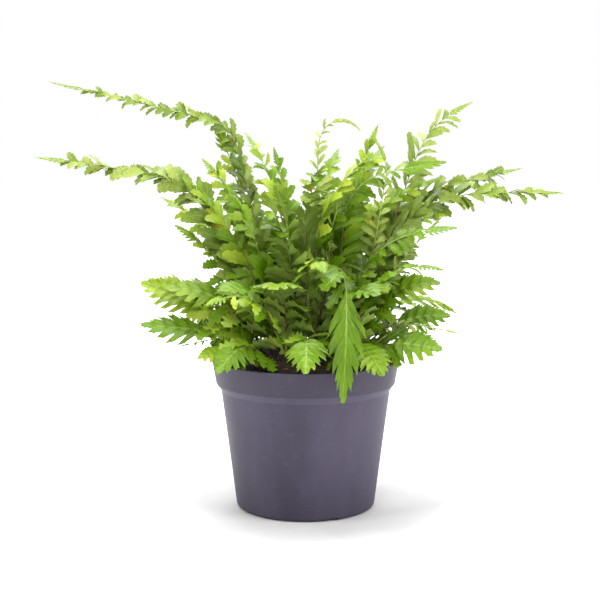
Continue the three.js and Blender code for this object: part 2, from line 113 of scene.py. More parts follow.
# name, kind, heading, rise, bend, knee, swing, roll, length, width. Angles in degrees, from +X towards
# +Y; the frond leaves the crown at rise and turns by bend between the two shares of its length in knee.
FRONDS = [
    # long fronds that reach out of the clump
    ("long_frond_left", "arching", 182, 65, -57, (0.38, 0.72), 0, -48, 218, 0.85),
    ("long_frond_left_upper", "arching", 176, 77, -64, (0.48, 0.62), 4, -50, 266, 0.6),
    ("long_frond_right_upper", "arching", 4, 71, -46, (0.66, 1), 0, 60, 187, 0.95),
    ("long_frond_right", "arching", -4, 66, -66, (0.28, 0.8), 0, 42, 200, 0.85),
    ("long_frond_right_rear", "arching", 8, 68, -56, (0.35, 0.82), -6, 40, 184, 0.85),
    # fronds that stand nearly upright in the middle
    ("inner_frond_left", "broad", 178, 86, -10, (0.3, 1), 0, -74, 158, 0.85),
    ("inner_frond_middle", "slender", 6, 88, -150, (0.74, 1.04), 0, 70, 171, 1),
    ("inner_frond_right_stalk", "slender", 176, 90, -50, (0.76, 1), 0, -60, 146, 0.9),
    ("upper_frond_right", "broad", -2, 86, -76, (0.46, 0.82), 0, 58, 168, 0.85),
    ("upper_frond_right_lower", "arching", 4, 78, -56, (0.4, 0.9), 0, 50, 142, 0.85),
    ("inner_frond_right", "arching", 10, 88, -16, (0.3, 1), 0, 70, 152, 0.95),
    ("inner_frond_right_front", "broad", -30, 88, -40, (0.4, 1), 0, 40, 128, 0.85),
    ("inner_frond_front", "broad", -110, 88, -44, (0.4, 1), 0, -10, 118, 0.85),
    ("inner_frond_left_front", "arching", -150, 86, -30, (0.4, 1), 0, -50, 124, 0.9),
    ("inner_frond_left_rear", "arching", 140, 88, -20, (0.3, 1), 0, -40, 134, 0.9),
    # low fronds round the rim
    ("low_frond_front", "leafy", -35, 74, -154, (0.26, 0.72), -75, 0, 146, 0.9),
    ("low_frond_front_left", "leafy", -92, 52, -92, (0.1, 1), 0, 6, 62, 0.8),
    ("low_frond_front_right", "leafy", -58, 44, -80, (0.1, 1), 0, 10, 54, 0.8),
    ("low_frond_right_front", "leafy", -30, 34, -44, (0, 0.9), 10, 34, 68, 1),
    ("low_frond_right", "leafy", -10, 44, -44, (0.1, 1), 4, 36, 72, 0.85),
    ("low_frond_right_lower", "slender", -14, 50, -62, (0, 0.8), 6, 30, 82, 0.9),
    ("low_frond_left_front", "leafy", -126, 44, -80, (0.1, 1), 0, -12, 54, 0.8),
    ("low_frond_left_rim", "leafy", -152, 34, -44, (0, 0.8), -6, -14, 46, 0.85),
    ("low_frond_left", "leafy", 184, 50, -32, (0, 1), 0, -50, 92, 0.9),
    ("low_frond_left_lower", "leafy", 190, 44, -36, (0, 0.6), 0, -44, 84, 0.75),
    ("low_frond_left_tip", "slender", 196, 36, -46, (0, 0.8), 0, -20, 62, 0.7),
    ("low_frond_rear_right", "leafy", 28, 50, -76, (0, 1), 6, 10, 108, 0.9),
    ("low_frond_rear", "broad", 66, 50, -84, (0, 1), -6, 5, 104, 0.85),
    ("low_frond_rear_middle", "broad", 104, 46, -80, (0, 1), 4, -5, 98, 0.85),
    ("low_frond_rear_left", "leafy", 140, 50, -70, (0, 1), 6, 0, 92, 0.9),
    ("low_frond_middle_front", "leafy", -100, 70, -84, (0.3, 1), 0, 0, 84, 1),
    ("low_frond_middle_left", "leafy", -132, 66, -72, (0.3, 1), 0, -16, 80, 1),
    ("low_frond_middle_right", "leafy", -58, 66, -72, (0.3, 1), 0, 14, 80, 1),
    ("low_frond_left_inner", "leafy", -164, 58, -58, (0.2, 1), 0, -34, 84, 0.95),
    ("low_frond_right_inner", "leafy", -20, 62, -58, (0.2, 1), 0, 34, 84, 0.95),
    ("low_frond_middle_rear", "leafy", 92, 64, -74, (0.2, 1), 0, 0, 86, 1),
    # upper fronds
    ("upper_frond_front", "arching", -84, 84, -66, (0.4, 1), 0, 12, 138, 0.95),
    ("upper_frond_right_front", "arching", -44, 82, -50, (0.3, 1), 10, 30, 144, 1),
    ("upper_frond_right_rear", "arching", 40, 82, -40, (0.3, 1), 0, 30, 150, 1),
    ("upper_frond_rear", "arching", 76, 80, -46, (0.3, 1), -8, 0, 154, 1.05),
    ("upper_frond_rear_left", "arching", 118, 80, -40, (0.3, 1), 8, 0, 160, 1),
    ("upper_frond_left_rear", "arching", 150, 78, -34, (0.3, 1), 0, -40, 142, 1),
    ("upper_frond_left", "arching", -178, 76, -26, (0.3, 1), 0, -60, 132, 1),
    ("upper_frond_left_front", "arching", -130, 80, -50, (0.3, 1), -6, -30, 128, 0.95),
    # middle fronds
    ("middle_frond_right", "slender", -14, 60, -14, (0.2, 1), 8, 40, 114, 1.05),
    ("middle_frond_right_leaf", "leafy", -10, 72, -62, (0.3, 0.9), 0, 40, 130, 0.85),
    ("middle_frond_front", "broad", -90, 76, -96, (0.3, 1), 6, 8, 104, 0.85),
    ("middle_frond_right_front", "broad", -52, 72, -70, (0.3, 1), 6, 10, 112, 0.85),
    ("middle_frond_right_rear", "arching", 26, 72, -60, (0.2, 1), 4, 24, 138, 1),
    ("middle_frond_rear_right", "broad", 54, 70, -66, (0.2, 1), 0, 0, 138, 0.8),
    ("middle_frond_rear", "arching", 86, 72, -62, (0.2, 1), -8, 0, 150, 1.1),
    ("middle_frond_rear_left", "broad", 120, 70, -66, (0.2, 1), 8, 6, 138, 0.8),
    ("middle_frond_left_rear", "arching", 160, 66, -40, (0.2, 1), 0, -30, 134, 1),
    ("middle_frond_left", "broad", -174, 66, -34, (0.2, 1), 0, -44, 106, 0.85),
    ("middle_frond_left_front", "broad", -126, 66, -72, (0.2, 1), -8, -12, 96, 0.85),
]


# ------------------------------------------------------------------ small helpers

def smoothstep(share, low, high):
    t = np.clip((share - low) / (high - low), 0, 1)
    return t * t * (3 - 2 * t)


def new_object(name, mesh):
    obj = bpy.data.objects.new(name, mesh)
    bpy.context.scene.collection.objects.link(obj)
    return obj


def mesh_from(name, points, faces, smooth=True):
    mesh = bpy.data.meshes.new(name)
    mesh.from_pydata([tuple(p) for p in points], [], faces)
    mesh.validate()
    mesh.polygons.foreach_set("use_smooth", [smooth] * len(mesh.polygons))
    return mesh


@contextmanager
def edited(mesh):
    """The mesh as a bmesh, which is written back when the work on it is done."""
    work = bmesh.new()
    work.from_mesh(mesh)
    yield work
    work.to_mesh(mesh)
    work.free()


def outward(mesh):
    """Turns every face of a closed mesh outwards."""
    with edited(mesh) as work:
        bmesh.ops.recalc_face_normals(work, faces=work.faces)


def circle(radius, count):
    """Points round a circle, in the radius's own unit."""
    return [(radius * math.cos(a), radius * math.sin(a))
            for a in (2 * math.pi * i / count for i in range(count))]


def ring_pairs(count):
    """Each corner of a ring with the next one."""
    return [(i, (i + 1) % count) for i in range(count)]


def settled(obj, finish=None):
    """The object with its modifiers made real, as a plain mesh at the origin."""
    bpy.context.view_layer.update()
    depsgraph = bpy.context.evaluated_depsgraph_get()
    mesh = bpy.data.meshes.new_from_object(
        obj.evaluated_get(depsgraph), preserve_all_data_layers=True, depsgraph=depsgraph
    )
    obj.modifiers.clear()
    obj.data = mesh
    if finish is not None:
        mesh.materials.clear()
        mesh.materials.append(finish)
    return obj


def hidden_collection(name, objects):
    """A collection that only the node trees read."""
    collection = bpy.data.collections.new(name)
    for obj in objects:
        for user in list(obj.users_collection):
            user.objects.unlink(obj)
        collection.objects.link(obj)
    return collection


class Tree:
    """Builds a node tree: sockets by name, and nodes with their settings. An input is given as a value,
    as the output to link, or as a node whose first output is meant."""

    def __init__(self, tree):
        self.tree = tree

    def socket(self, name, kind, default=None, out=False):
        item = self.tree.interface.new_socket(
            name=name, in_out="OUTPUT" if out else "INPUT", socket_type="NodeSocket" + kind
        )
        if default is not None:
            item.default_value = default
        return item

    def node(self, kind, inputs=None, **settings):
        node = self.tree.nodes.new(kind)
        for key, value in settings.items():
            setattr(node, key, value)
        for key, value in (inputs or {}).items():
            self.feed(node.inputs[key], value)
        return node

    def feed(self, socket, value):
        if isinstance(value, bpy.types.NodeSocket):
            self.tree.links.new(value, socket)
        elif isinstance(value, bpy.types.Node):
            self.tree.links.new(value.outputs[0], socket)
        else:
            socket.default_value = value

    def math(self, operation, *values, clamp=False):
        kind = "ShaderNodeMath"
        node = self.node(kind, dict(enumerate(values)), operation=operation, use_clamp=clamp)
        return node.outputs[0]

    def vector(self, operation, *values, out=0):
        node = self.node("ShaderNodeVectorMath", operation=operation)
        for i, value in enumerate(values):
            key = "Scale" if operation == "SCALE" and i == 1 else i
            self.feed(node.inputs[key], value)
        return node.outputs[out]

    def mix(self, factor, a, b):
        node = self.node("ShaderNodeMix", data_type="RGBA")
        self.feed(node.inputs[0], factor)
        self.feed(node.inputs[6], a)
        self.feed(node.inputs[7], b)
        return node.outputs[2]

    def layers(self, colour, *over):
        """A colour with others laid over it in turn, each given as (share, colour)."""
        for share, other in over:
            colour = self.mix(share, colour, other)
        return colour

    def lerp(self, factor, a, b):
        node = self.node("ShaderNodeMix", data_type="FLOAT")
        self.feed(node.inputs[0], factor)
        self.feed(node.inputs[2], a)
        self.feed(node.inputs[3], b)
        return node.outputs[0]

    def ranged(self, value, low, high, to_low=0.0, to_high=1.0):
        node = self.node("ShaderNodeMapRange", interpolation_type="SMOOTHSTEP")
        for i, given in enumerate((value, low, high, to_low, to_high)):
            self.feed(node.inputs[i], given)
        return node.outputs[0]

    def times(self, a, b):
        return self.math("MULTIPLY", a, b)

    def plus(self, a, b, clamp=False):
        return self.math("ADD", a, b, clamp=clamp)

    def minus(self, a, b):
        return self.math("SUBTRACT", a, b)

    def xyz(self, x=0.0, y=0.0, z=0.0):
        return self.node("ShaderNodeCombineXYZ", {"X": x, "Y": y, "Z": z}).outputs[0]

    def apart(self, vector):
        return self.node("ShaderNodeSeparateXYZ", {0: vector}).outputs

    def children(self, collection):
        return self.node("GeometryNodeCollectionInfo", {
            "Collection": collection, "Separate Children": True, "Reset Children": True,
        })

    def random(self, low, high, seed):
        inputs = {2: low, 3: high, "Seed": seed}
        return self.node("FunctionNodeRandomValue", inputs, data_type="FLOAT").outputs[1]

    def stored(self, geometry, name, value, domain="POINT"):
        inputs = {"Geometry": geometry, "Name": name, "Value": value}
        kind = "GeometryNodeStoreNamedAttribute"
        return self.node(kind, inputs, data_type="FLOAT", domain=domain).outputs[0]

    def joined(self, *parts):
        """The parts in one, with every instance made real."""
        join = self.node("GeometryNodeJoinGeometry")
        for part in parts:
            self.feed(join.inputs[0], part)
        return self.node("GeometryNodeRealizeInstances", {"Geometry": join.outputs[0]}).outputs[0]

    def dress(self, geometry, finish):
        """Ends a geometry tree with its finish."""
        dressed = self.node("GeometryNodeSetMaterial", {"Geometry": geometry, "Material": finish})
        self.node("NodeGroupOutput", {"Geometry": dressed.outputs[0]})


def new_group(name, kind, inputs, outputs):
    """A node group with inputs of (name, kind, default) and outputs of (name, kind): the group, its tree
    and what is given to it."""
    t = Tree(bpy.data.node_groups.new(name, kind + "NodeTree"))
    for row in inputs:
        t.socket(*row)
    for row in outputs:
        t.socket(*row, out=True)
    return t.tree, t, t.node("NodeGroupInput").outputs


def set_inputs(modifier, values):
    """Sets a node modifier's inputs, which go by their sockets' identifiers."""
    known = {item.name: item.identifier for item in modifier.node_group.interface.items_tree
             if item.item_type == "SOCKET" and item.in_out == "INPUT"}
    for name, value in values.items():
        modifier[known[name]] = value


def grown(obj, tree, values):
    """The object as a geometry tree with these inputs makes it."""
    modifier = obj.modifiers.new(tree.name, "NODES")
    modifier.node_group = tree
    set_inputs(modifier, values)
    return settled(obj)


# ------------------------------------------------------------------ where each frond stands

def turn(axis, angle):
    """Matrix of a turn about a unit axis."""
    x, y, z = axis
    cross = np.array([[0, -z, y], [z, 0, -x], [-y, x, 0]])
    return np.eye(3) + math.sin(angle) * cross + (1 - math.cos(angle)) * cross @ cross


def rachis_frames(heading, rise, bend, knee, swing, roll, length):
    """Points of the rachis, and its along, left and upper directions there, as (steps + 1, 3) arrays."""
    share = np.arange(RACHIS_STEPS + 1) / RACHIS_STEPS
    elevation = np.radians(rise + bend * smoothstep(share, *knee))
    azimuth = np.radians(heading + swing * share)
    along = np.stack(
        [np.cos(elevation) * np.cos(azimuth), np.cos(elevation) * np.sin(azimuth), np.sin(elevation)], 1
    )
    level = np.stack([-np.sin(azimuth), np.cos(azimuth), np.zeros_like(azimuth)], 1)
    rolled = (math.radians(roll) * np.minimum(1, 2 * share))[:, None]
    left = level * np.cos(rolled) + np.cross(along, level) * np.sin(rolled)
    point = np.vstack([np.zeros(3), np.cumsum(along[:-1] * length / RACHIS_STEPS, 0)])
    return point, along, left, np.cross(along, left)


def leaflet_share(share, tail):
    """Length of a leaflet as a share of the longest one, from the blade's foot (0) to its tip (1)."""
    body = 1 - tail
    if share < body:
        return (0.72 + 0.28 * min(1, share / 0.2)) * (1 - 0.62 * (share / body) ** 1.6)
    return 0.3 * (1 - (share - body) / tail) + 0.04


def frame_outline(kind, frames, width):
    """The corners of the frame's own plain frond."""
    blade = KINDS[kind]
    point, along, left, upper = frames
    corners = []

    def stalk(share):
        return CAD_STALK["base_radius"] + (CAD_STALK["tip_radius"] - CAD_STALK["base_radius"]) * share

    def ring(share, half, thickness, sweep, droop):
        at = min(RACHIS_STEPS, math.floor(share * RACHIS_STEPS + 0.5))
        for side in (1, -1):
            corners.append(
                point[at] + left[at] * side * half + along[at] * sweep * half - upper[at] * droop * half
            )
            corners.append(point[at] + upper[at] * side * thickness / 2)

    for i in range(CAD_STALK["steps"]):
        share = blade["start"] * i / CAD_STALK["steps"]
        ring(share, stalk(share), 2 * stalk(share), 0, 0)
    for i in range(blade["pairs"]):
        done = i / blade["pairs"]
        notch = blade["start"] + (1 - blade["start"]) * done
        tooth = blade["start"] + (1 - blade["start"]) * (done + 0.45 / blade["pairs"])
        reach = blade["half_width"] * width * leaflet_share(done, blade["tail"])
        lean = blade["sweep"][0] + (blade["sweep"][1] - blade["sweep"][0]) * done
        ring(notch, stalk(notch) + 0.1 * reach, 2 * stalk(notch), 0, 0)
        ring(tooth, reach, 1.6 * stalk(tooth), lean, blade["droop"])
    ring(1, CAD_STALK["tip_radius"], CAD_STALK["tip_radius"], 0, 0)
    return np.array(corners)


def standing_frames(name, kind, heading, rise, bend, knee, swing, roll, length, width):
    """The rachis as it stands on the frame: the small lean that the frond was given is the one whose box
    has the size of the node's box, and its place follows from the two boxes."""
    frames = rachis_frames(heading, rise, bend, knee, swing, roll, length)
    corners = frame_outline(kind, frames, width)
    low, high = (np.array(corner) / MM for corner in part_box(name))
    azimuth = math.radians(heading)
    hinge = (math.sin(azimuth), -math.cos(azimuth), 0)
    best = None
    for sideways in range(-24, 25, 2):
        for upward in range(-12, 13, 2):
            lean = turn(UP, math.radians(sideways)) @ turn(hinge, math.radians(upward))
            turned = corners @ lean.T
            miss = np.abs(np.ptp(turned, axis=0) - (high - low)).max()
            if best is None or miss < best[0]:
                best = (miss, lean, (low - turned.min(0) + high - turned.max(0)) / 2)
    miss, lean, place = best
    if miss > 0.05:
        print(f"{name} stands {miss:.2f} mm off its frame")
    point, along, left, upper = (part @ lean.T for part in frames)
    return point + place, along, left, upper


# ------------------------------------------------------------------ leaflets and tips, flat

def leaf_shell(name, rows, thickness, across, mirrored=False):
    """A thin closed leaf, from rows of (midrib point, left edge point, right edge point, surface), where
    surface(v) is the height at v, from -1 at the right edge to 1 at the left. The first and the last row
    are drawn to a point."""
    points, uvs, faces, under, grid = [], [], [], [], []
    columns = [i / across for i in range(-across, across + 1)]

    def add(x, y, z, uv):
        points.append((x, -y if mirrored else y, z))
        uvs.append(uv)
        return len(points) - 1

    foot, tip = (add(*row[0], row[3](0), (u, 0.5)) for row, u in ((rows[0], 0.0), (rows[-1], 1.0)))
    for r, (mid, left, right, surface) in enumerate(rows[1:-1], 1):
        u = r / (len(rows) - 1)
        body = thickness * math.sin(math.pi * min(0.85, max(0.15, u))) ** 0.5
        tops, bottoms = [], []
        for v in columns:
            edge = left if v > 0 else right
            x, y = (mid[k] + (edge[k] - mid[k]) * abs(v) for k in (0, 1))
            lift = 0 if abs(v) == 1 else body / 2
            tops.append(add(x, y, surface(v) + lift, (u, 0.5 + v / 2)))
            bottoms.append(add(x, y, surface(v) - lift, (u, 0.5 + v / 2)) if lift else tops[-1])
        grid.append((tops, bottoms))
    for side in (0, 1):
        ends = [(foot, grid[0][side]), (tip, grid[-1][side])]
        made = [(end, ring[k], ring[k + 1]) for end, ring in ends for k in range(len(columns) - 1)]
        made += [
            (a[side][k], a[side][k + 1], b[side][k + 1], b[side][k])
            for a, b in zip(grid, grid[1:]) for k in range(len(columns) - 1)
        ]
        faces += made
        under += [float(side)] * len(made)
    mesh = bpy.data.meshes.new(name)
    mesh.from_pydata(points, [], faces)
    mesh.uv_layers.new(name="UVMap").data.foreach_set(
        "uv", [c for loop in mesh.loops for c in uvs[loop.vertex_index]]
    )
    mesh.attributes.new("under", "FLOAT", "FACE").data.foreach_set("value", under)
    outward(mesh)
    mesh.polygons.foreach_set("use_smooth", [True] * len(mesh.polygons))
    rim = {foot, tip} | {i for tops, _ in grid for i in (tops[0], tops[-1])}
    mesh.attributes.new("sharp_edge", "BOOLEAN", "EDGE").data.foreach_set(
        "value", [edge.vertices[0] in rim and edge.vertices[1] in rim for edge in mesh.edges]
    )
    return new_object(name, mesh)


def leaflet(name, side, rng, width, teeth, depth, curl, trough, twist, across, foot=1.0, tip=0.78):
    """A leaflet of length 1 that points to the left (side 1) or the right (side -1) of the rachis: a wedge
    at its foot, widest beyond the middle, with forward-pointing teeth."""
    widest = foot / (foot + tip)
    top = widest ** foot * (1 - widest) ** tip
    stations = [0.0] + [0.09 + 0.87 * i / (2 * teeth) for i in range(2 * teeth + 1)] + [1.0]
    rows = []
    for i, u in enumerate(stations):
        inner = min(0.995, max(0.005, u))
        half = max(0.028, width * inner ** foot * (1 - inner) ** tip / top)
        toothed = 0.26 < u < 1
        pointed = i % 2 == 0
        if toothed:
            half *= (1 + 0.3 * depth if pointed else 1 - depth) * rng.uniform(0.93, 1.07)
        reach = min(1.02, u + (0.07 if toothed and pointed else 0))
        front, rear = half * (1.14 - 0.14 * u), half * (0.86 + 0.14 * u)
        bow = 0.06 * math.sin(math.pi * u)

        def surface(v, u=u, half=half):
            dip = trough * half * abs(v) * (1 - 0.45 * abs(v))
            return 0.07 * math.sin(math.pi * u) - curl * u * u + dip + twist * u * v * half

        rows.append(((bow, u), (bow + front, reach), (bow - rear, reach), surface))
    return leaf_shell(name, rows, 0.03, across, mirrored=side < 0)


def blade_tip(name, rng, profile, lobes, depth, sweep, aspect, thickness, curl, across):
    """A joined tip of length 1 along X and half a width of 1, whose lobes sweep forward. aspect: half its
    width as a share of its length. profile(u): half its width at u from foot to tip."""
    rows = [((0, 0), None, None, lambda v: 0.0)]
    # one lobe: its notch, two small teeth, and its point; cut is a share of the notch's depth
    shares = [0.0, 0.16, 0.3, 0.46, 0.6, 0.78]
    cut = [1.0, 0.52, 0.58, 0.02, 0.12, -0.12]
    ahead = [0.0, 0.12, 0.02, 0.2, 0.1, 0.42]
    for i in range(lobes):
        for share, inward, forward in zip(shares, cut, ahead):
            u = 0.02 + 0.96 * (i + share) / lobes
            here = depth * (1.2 - 0.75 * u)
            plain = profile(u) * (1 - here * inward)
            halves = [max(0.015, plain * rng.uniform(0.92, 1.08)) for _ in range(2)]
            step = forward * 0.96 / lobes
            fold = 0.16 * math.sin(2 * math.pi * share + 0.6)

            def surface(v, u=u, halves=halves, fold=fold):
                half = halves[0] if v > 0 else halves[1]
                trough = 0.55 * abs(v) * (1 - 0.75 * abs(v)) + fold * abs(v) - 0.14 * v * v
                return half * trough - curl * u * u

            edges = [(min(1.0, u + step + sweep * half * aspect), side * half)
                     for half, side in zip(halves, (1, -1))]
            rows.append(((u, 0), edges[0], edges[1], surface))
    rows.append(((1, 0), None, None, lambda v: -curl))
    return leaf_shell(name, rows, thickness, across)


def tapering(foot, power):
    return lambda u: foot + (1 - foot) * max(0.0, 1 - u) ** power


def pointed_oval(widest, foot):
    """Half a width that swells from foot to 1 at widest, and narrows to a long point."""
    def half(u):
        if u < widest:
            return foot + (1 - foot) * math.sin(math.pi / 2 * u / widest)
        return max(0.0, 1 - ((u - widest) / (1 - widest)) ** 1.35)
    return half


def make_leaflets():
    """The collections of leaflets and the tips, by name. Each leaflet comes in a left and a right hand."""
    rng = random.Random(SEEDS["leaflets"])
    cuts = {
        "toothed": [(0.24, 4, 0.2), (0.27, 4, 0.24), (0.21, 4, 0.18)],
        "broad_toothed": [(0.24, 5, 0.28), (0.27, 5, 0.32), (0.22, 4, 0.26)],
        "lobed": [(0.27, 5, 0.46), (0.31, 5, 0.5), (0.24, 4, 0.44)],
        "narrow": [(0.14, 4, 0.16), (0.16, 4, 0.14), (0.18, 5, 0.18)],
    }
    sets = {}
    for set_name, rows in cuts.items():
        made = []
        for side, hand in ((1, "a_left"), (-1, "b_right")):
            for i, (width, teeth, depth) in enumerate(rows):
                curl = (0.05, 0.16, -0.03)[i]
                trough = (0.5, 0.25, 0.7)[i]
                twist = (0.1, -0.25, 0.3)[i]
                across = 2 if set_name in ("broad_toothed", "lobed") else 1
                made.append(leaflet(
                    f"{set_name}_{hand}_{i}", side, rng, width, teeth, depth, curl, trough, twist, across
                ))
        sets[set_name] = hidden_collection(set_name, made)
    # profile, lobes, depth, sweep, aspect, thickness, curl, across
    shapes = {
        "tip_tapering": [(tapering(0.03, 0.9), 6, 0.5, 0.7, 0.12, 0.05, 0.0, 2)],
        "tip_pointed": [(tapering(0.04, 0.8), n, 0.55, 0.6, 0.25, 0.035, 0.05, 2) for n in (5, 6)],
        "tip_lobed": [
            (pointed_oval(0.24 + 0.05 * i, 0.6), 5 + i, 0.6 - 0.05 * i, 0.5, 0.35, 0.018,
             0.12 * (i - 1), 2)
            for i in range(3)
        ],
        "tip_thin": [(tapering(0.1, 0.9), 4, 0.35, 0.8, 0.1, 0.06, 0.0, 1)],
    }
    tips = {
        name: [blade_tip(f"{name}_{i}", rng, *row) for i, row in enumerate(rows)]
        for name, rows in shapes.items()
    }
    hidden_collection("tips", [tip for made in tips.values() for tip in made])
    return sets, tips


# ------------------------------------------------------------------ the frond tree

VARIANTS = 3
FROND_INPUTS = [
    ("Geometry", "Geometry"),
    ("Leaflets", "Collection", None), ("Tip", "Object", None), ("Pairs", "Int", 10),
    ("Length", "Float", 0.2), ("Leaf Start", "Float", 0.4), ("Tip Start", "Float", 0.8),
    ("Leaflet Length", "Float", 0.012), ("Least Leaflet", "Float", 0.3),
    ("Tip Half Width", "Float", 0.004),
    ("Lean Foot", "Float", 0.3), ("Lean Tip", "Float", 0.9), ("Droop", "Float", 0.15),
    ("Stalk Radius", "Float", 0.001), ("Stalk Tip Radius", "Float", 0.0003),
    ("Ruffle", "Float", 0.0006), ("Tone With Shade", "Float", 0.5), ("Seed", "Int", 0),
    ("Finish", "Material", None),
]


def frond_tree():
    """Leaflets in pairs and a joined tip are laid out flat along X, then wrapped onto the rachis, whose
    left and upper directions are attributes of the rachis line."""
    group, t, given = new_group("frond", "Geometry", FROND_INPUTS, [("Geometry", "Geometry")])

    def random_value(low, high, salt):
        return t.random(low, high, t.plus(given["Seed"], salt))

    # where the leaflets sit
    points = t.node("GeometryNodePoints", {"Count": t.times(given["Pairs"], 2.0)})
    index = t.node("GeometryNodeInputIndex")
    right = t.math("MODULO", index, 2.0)
    side = t.minus(1.0, t.times(right, 2.0))
    pair = t.math("FLOOR", t.math("DIVIDE", index, 2.0))
    done = t.math("DIVIDE", t.plus(pair, t.times(right, 0.4)), given["Pairs"])
    share = t.lerp(done, given["Leaf Start"], given["Tip Start"])
    x = t.times(share, given["Length"])
    placed = t.node("GeometryNodeSetPosition", {"Geometry": points, "Position": t.xyz(x)})

    # how long they are, and how they are turned
    narrowed = t.lerp(t.math("POWER", done, 1.5), 1.0, given["Least Leaflet"])
    profile = t.times(narrowed, t.ranged(done, 0.0, 0.22, 0.66, 1.0))
    long = t.times(t.times(profile, given["Leaflet Length"]), random_value(0.86, 1.14, 1))
    lean = t.plus(t.lerp(done, given["Lean Foot"], given["Lean Tip"]), random_value(-0.28, 0.22, 2))
    droop = t.plus(given["Droop"], random_value(-0.4, 0.5, 3))
    away = t.times(side, -1.0)
    turned = t.xyz(t.times(away, droop), random_value(-0.6, 0.6, 4), t.times(away, lean))
    sized = t.xyz(t.times(long, random_value(0.9, 1.15, 5)), long, long)
    variant = t.math("FLOOR", random_value(0, VARIANTS - 0.01, 6))
    pick = t.plus(variant, t.times(right, float(VARIANTS)))
    leaves = t.node("GeometryNodeInstanceOnPoints", {
        "Points": placed, "Instance": t.children(given["Leaflets"]),
        "Pick Instance": True, "Instance Index": pick, "Scale": sized,
        "Rotation": t.node("FunctionNodeEulerToRotation", {0: turned}),
    })
    # each leaflet's tone: its own at random, over the frond's, which is partly painted shade
    leaflet_tone_and_shade = t.plus(random_value(-0.3, 0.3, 7), given["Tone With Shade"], clamp=True)
    leaves = t.stored(leaves, "tone", leaflet_tone_and_shade, "INSTANCE")
    leaves = t.stored(leaves, "age", random_value(0.0, 1.0, 8), "INSTANCE")

    # the joined tip
    tip = t.node("GeometryNodeObjectInfo", {"Object": given["Tip"], "As Instance": False})
    tip = tip.outputs["Geometry"]
    room = t.times(given["Length"], t.minus(1.0, given["Tip Start"]))
    start = t.times(given["Length"], given["Tip Start"])
    half = given["Tip Half Width"]
    tip = t.node("GeometryNodeTransform", {
        "Geometry": tip, "Translation": t.xyz(start), "Scale": t.xyz(room, half, half),
    })
    tip = t.stored(t.stored(tip, "tone", t.minus(given["Tone With Shade"], 0.08)), "age", 0.3)

    flat = t.joined(leaves, tip)
    where = t.node("GeometryNodeInputPosition")
    seed_shift = t.times(given["Seed"], 0.37)
    ripple = t.node("ShaderNodeTexNoise", {
        "Vector": where, "Scale": 140.0, "Detail": 1.0, "W": seed_shift,
    }, noise_dimensions="4D")
    lift = t.times(t.times(t.minus(ripple, 0.5), 4.0), given["Ruffle"])
    flat = t.node("GeometryNodeSetPosition", {"Geometry": flat, "Offset": t.xyz(z=lift)})
    apart = t.apart(where)
    flat = t.stored(flat, "along", t.math("DIVIDE", apart[0], given["Length"]))
    flat = t.stored(flat, "blade", 1.0)

    # wrapped onto the rachis
    rachis = t.node("GeometryNodeMeshToCurve", {"Mesh": given["Geometry"]})

    def sampled(name):
        kind = "GeometryNodeInputNamedAttribute"
        value = t.node(kind, {"Name": name}, data_type="FLOAT_VECTOR")
        node = t.node("GeometryNodeSampleCurve", {"Curves": rachis, "Length": apart[0]},
                      mode="LENGTH", data_type="FLOAT_VECTOR")
        t.feed(next(s for s in node.inputs if s.name == "Value" and s.type == "VECTOR"), value)
        found = next(s for s in node.outputs if s.name == "Value" and s.type == "VECTOR")
        return found, node.outputs["Position"]

    left, centre = sampled("left")
    upper, _ = sampled("upper")
    wrapped = t.vector("ADD", centre, t.vector("ADD", t.vector("SCALE", left, apart[1]),
                                               t.vector("SCALE", upper, apart[2])))
    leaves = t.node("GeometryNodeSetPosition", {"Geometry": flat, "Position": wrapped})

    # the stalk and rachis, a tapering round stem
    factor = t.node("GeometryNodeSplineParameter").outputs["Factor"]
    swollen = t.ranged(factor, 0.0, 0.06, 1.5, 1.0)
    radius = t.times(t.lerp(factor, given["Stalk Radius"], given["Stalk Tip Radius"]), swollen)
    stem = t.stored(rachis, "along", factor)
    ring = t.node("GeometryNodeCurvePrimitiveCircle", {"Resolution": 7, "Radius": 1.0})
    stem = t.node("GeometryNodeCurveToMesh", {
        "Curve": stem, "Profile Curve": ring, "Scale": radius, "Fill Caps": True,
    })
    stem = t.node("GeometryNodeSetShadeSmooth", {"Geometry": stem})
    t.dress(t.joined(leaves, t.stored(stem, "blade", 0.0)), given["Finish"])
    return group


# How bright a frond's green is, from deep (0) to bright (1), by where it grows: partly its own tone and
# partly painted shade, deeper for the middle fronds inside the clump.
TONES_WITH_PAINTED_SHADE = {
    "low": (0.3, 0.72), "middle": (0.12, 0.6), "upper": (0.22, 0.8), "inner": (0.25, 0.8),
    "long": (0.2, 0.5),
}
# How far a frond reaches past the end of its frame, along its last direction.
BEYOND = {
    "low_frond_front": 14, "low_frond_front_left": 8, "low_frond_front_right": 10,
    "low_frond_left_front": 8,
}
# Where a frond's blade is cut otherwise than its kind's.
OWN_BLADE = {
    "middle_frond_right_leaf": {
        "tip_start": 0.84, "least": 0.4, "spacing": 7.0, "tip_half": 0.3, "set": "broad_toothed",
        "tip": "tip_pointed",
    },
    "low_frond_front": {"tip_start": 0.58, "tip_half": 0.62, "tone": 0.28},
    "low_frond_left_lower": {"tone": 0.2},
    "low_frond_right": {"tone": 0.3},
    "long_frond_right_upper": {"set": "narrow", "pinna": 1.4, "spacing": 6.2, "lean": (0.6, 0.95)},
    "upper_frond_right": {"set": "narrow", "pinna": 1.15, "spacing": 6.2, "lean": (0.5, 0.9)},
    "inner_frond_middle": {"pinna": 1.45, "spacing": 6.4},
    "inner_frond_right_stalk": {"pinna": 1.35, "spacing": 6.0},
    **{f"long_frond_{side}": {"spacing": 4.9, "lean": (0.85, 1.2), "pinna": 1.3}
       for side in ("left", "left_upper", "right", "right_rear")},
}
GREEN_STALK = {"radius": 0.68, "tip_radius": 0.22}
RUFFLE = 0.35


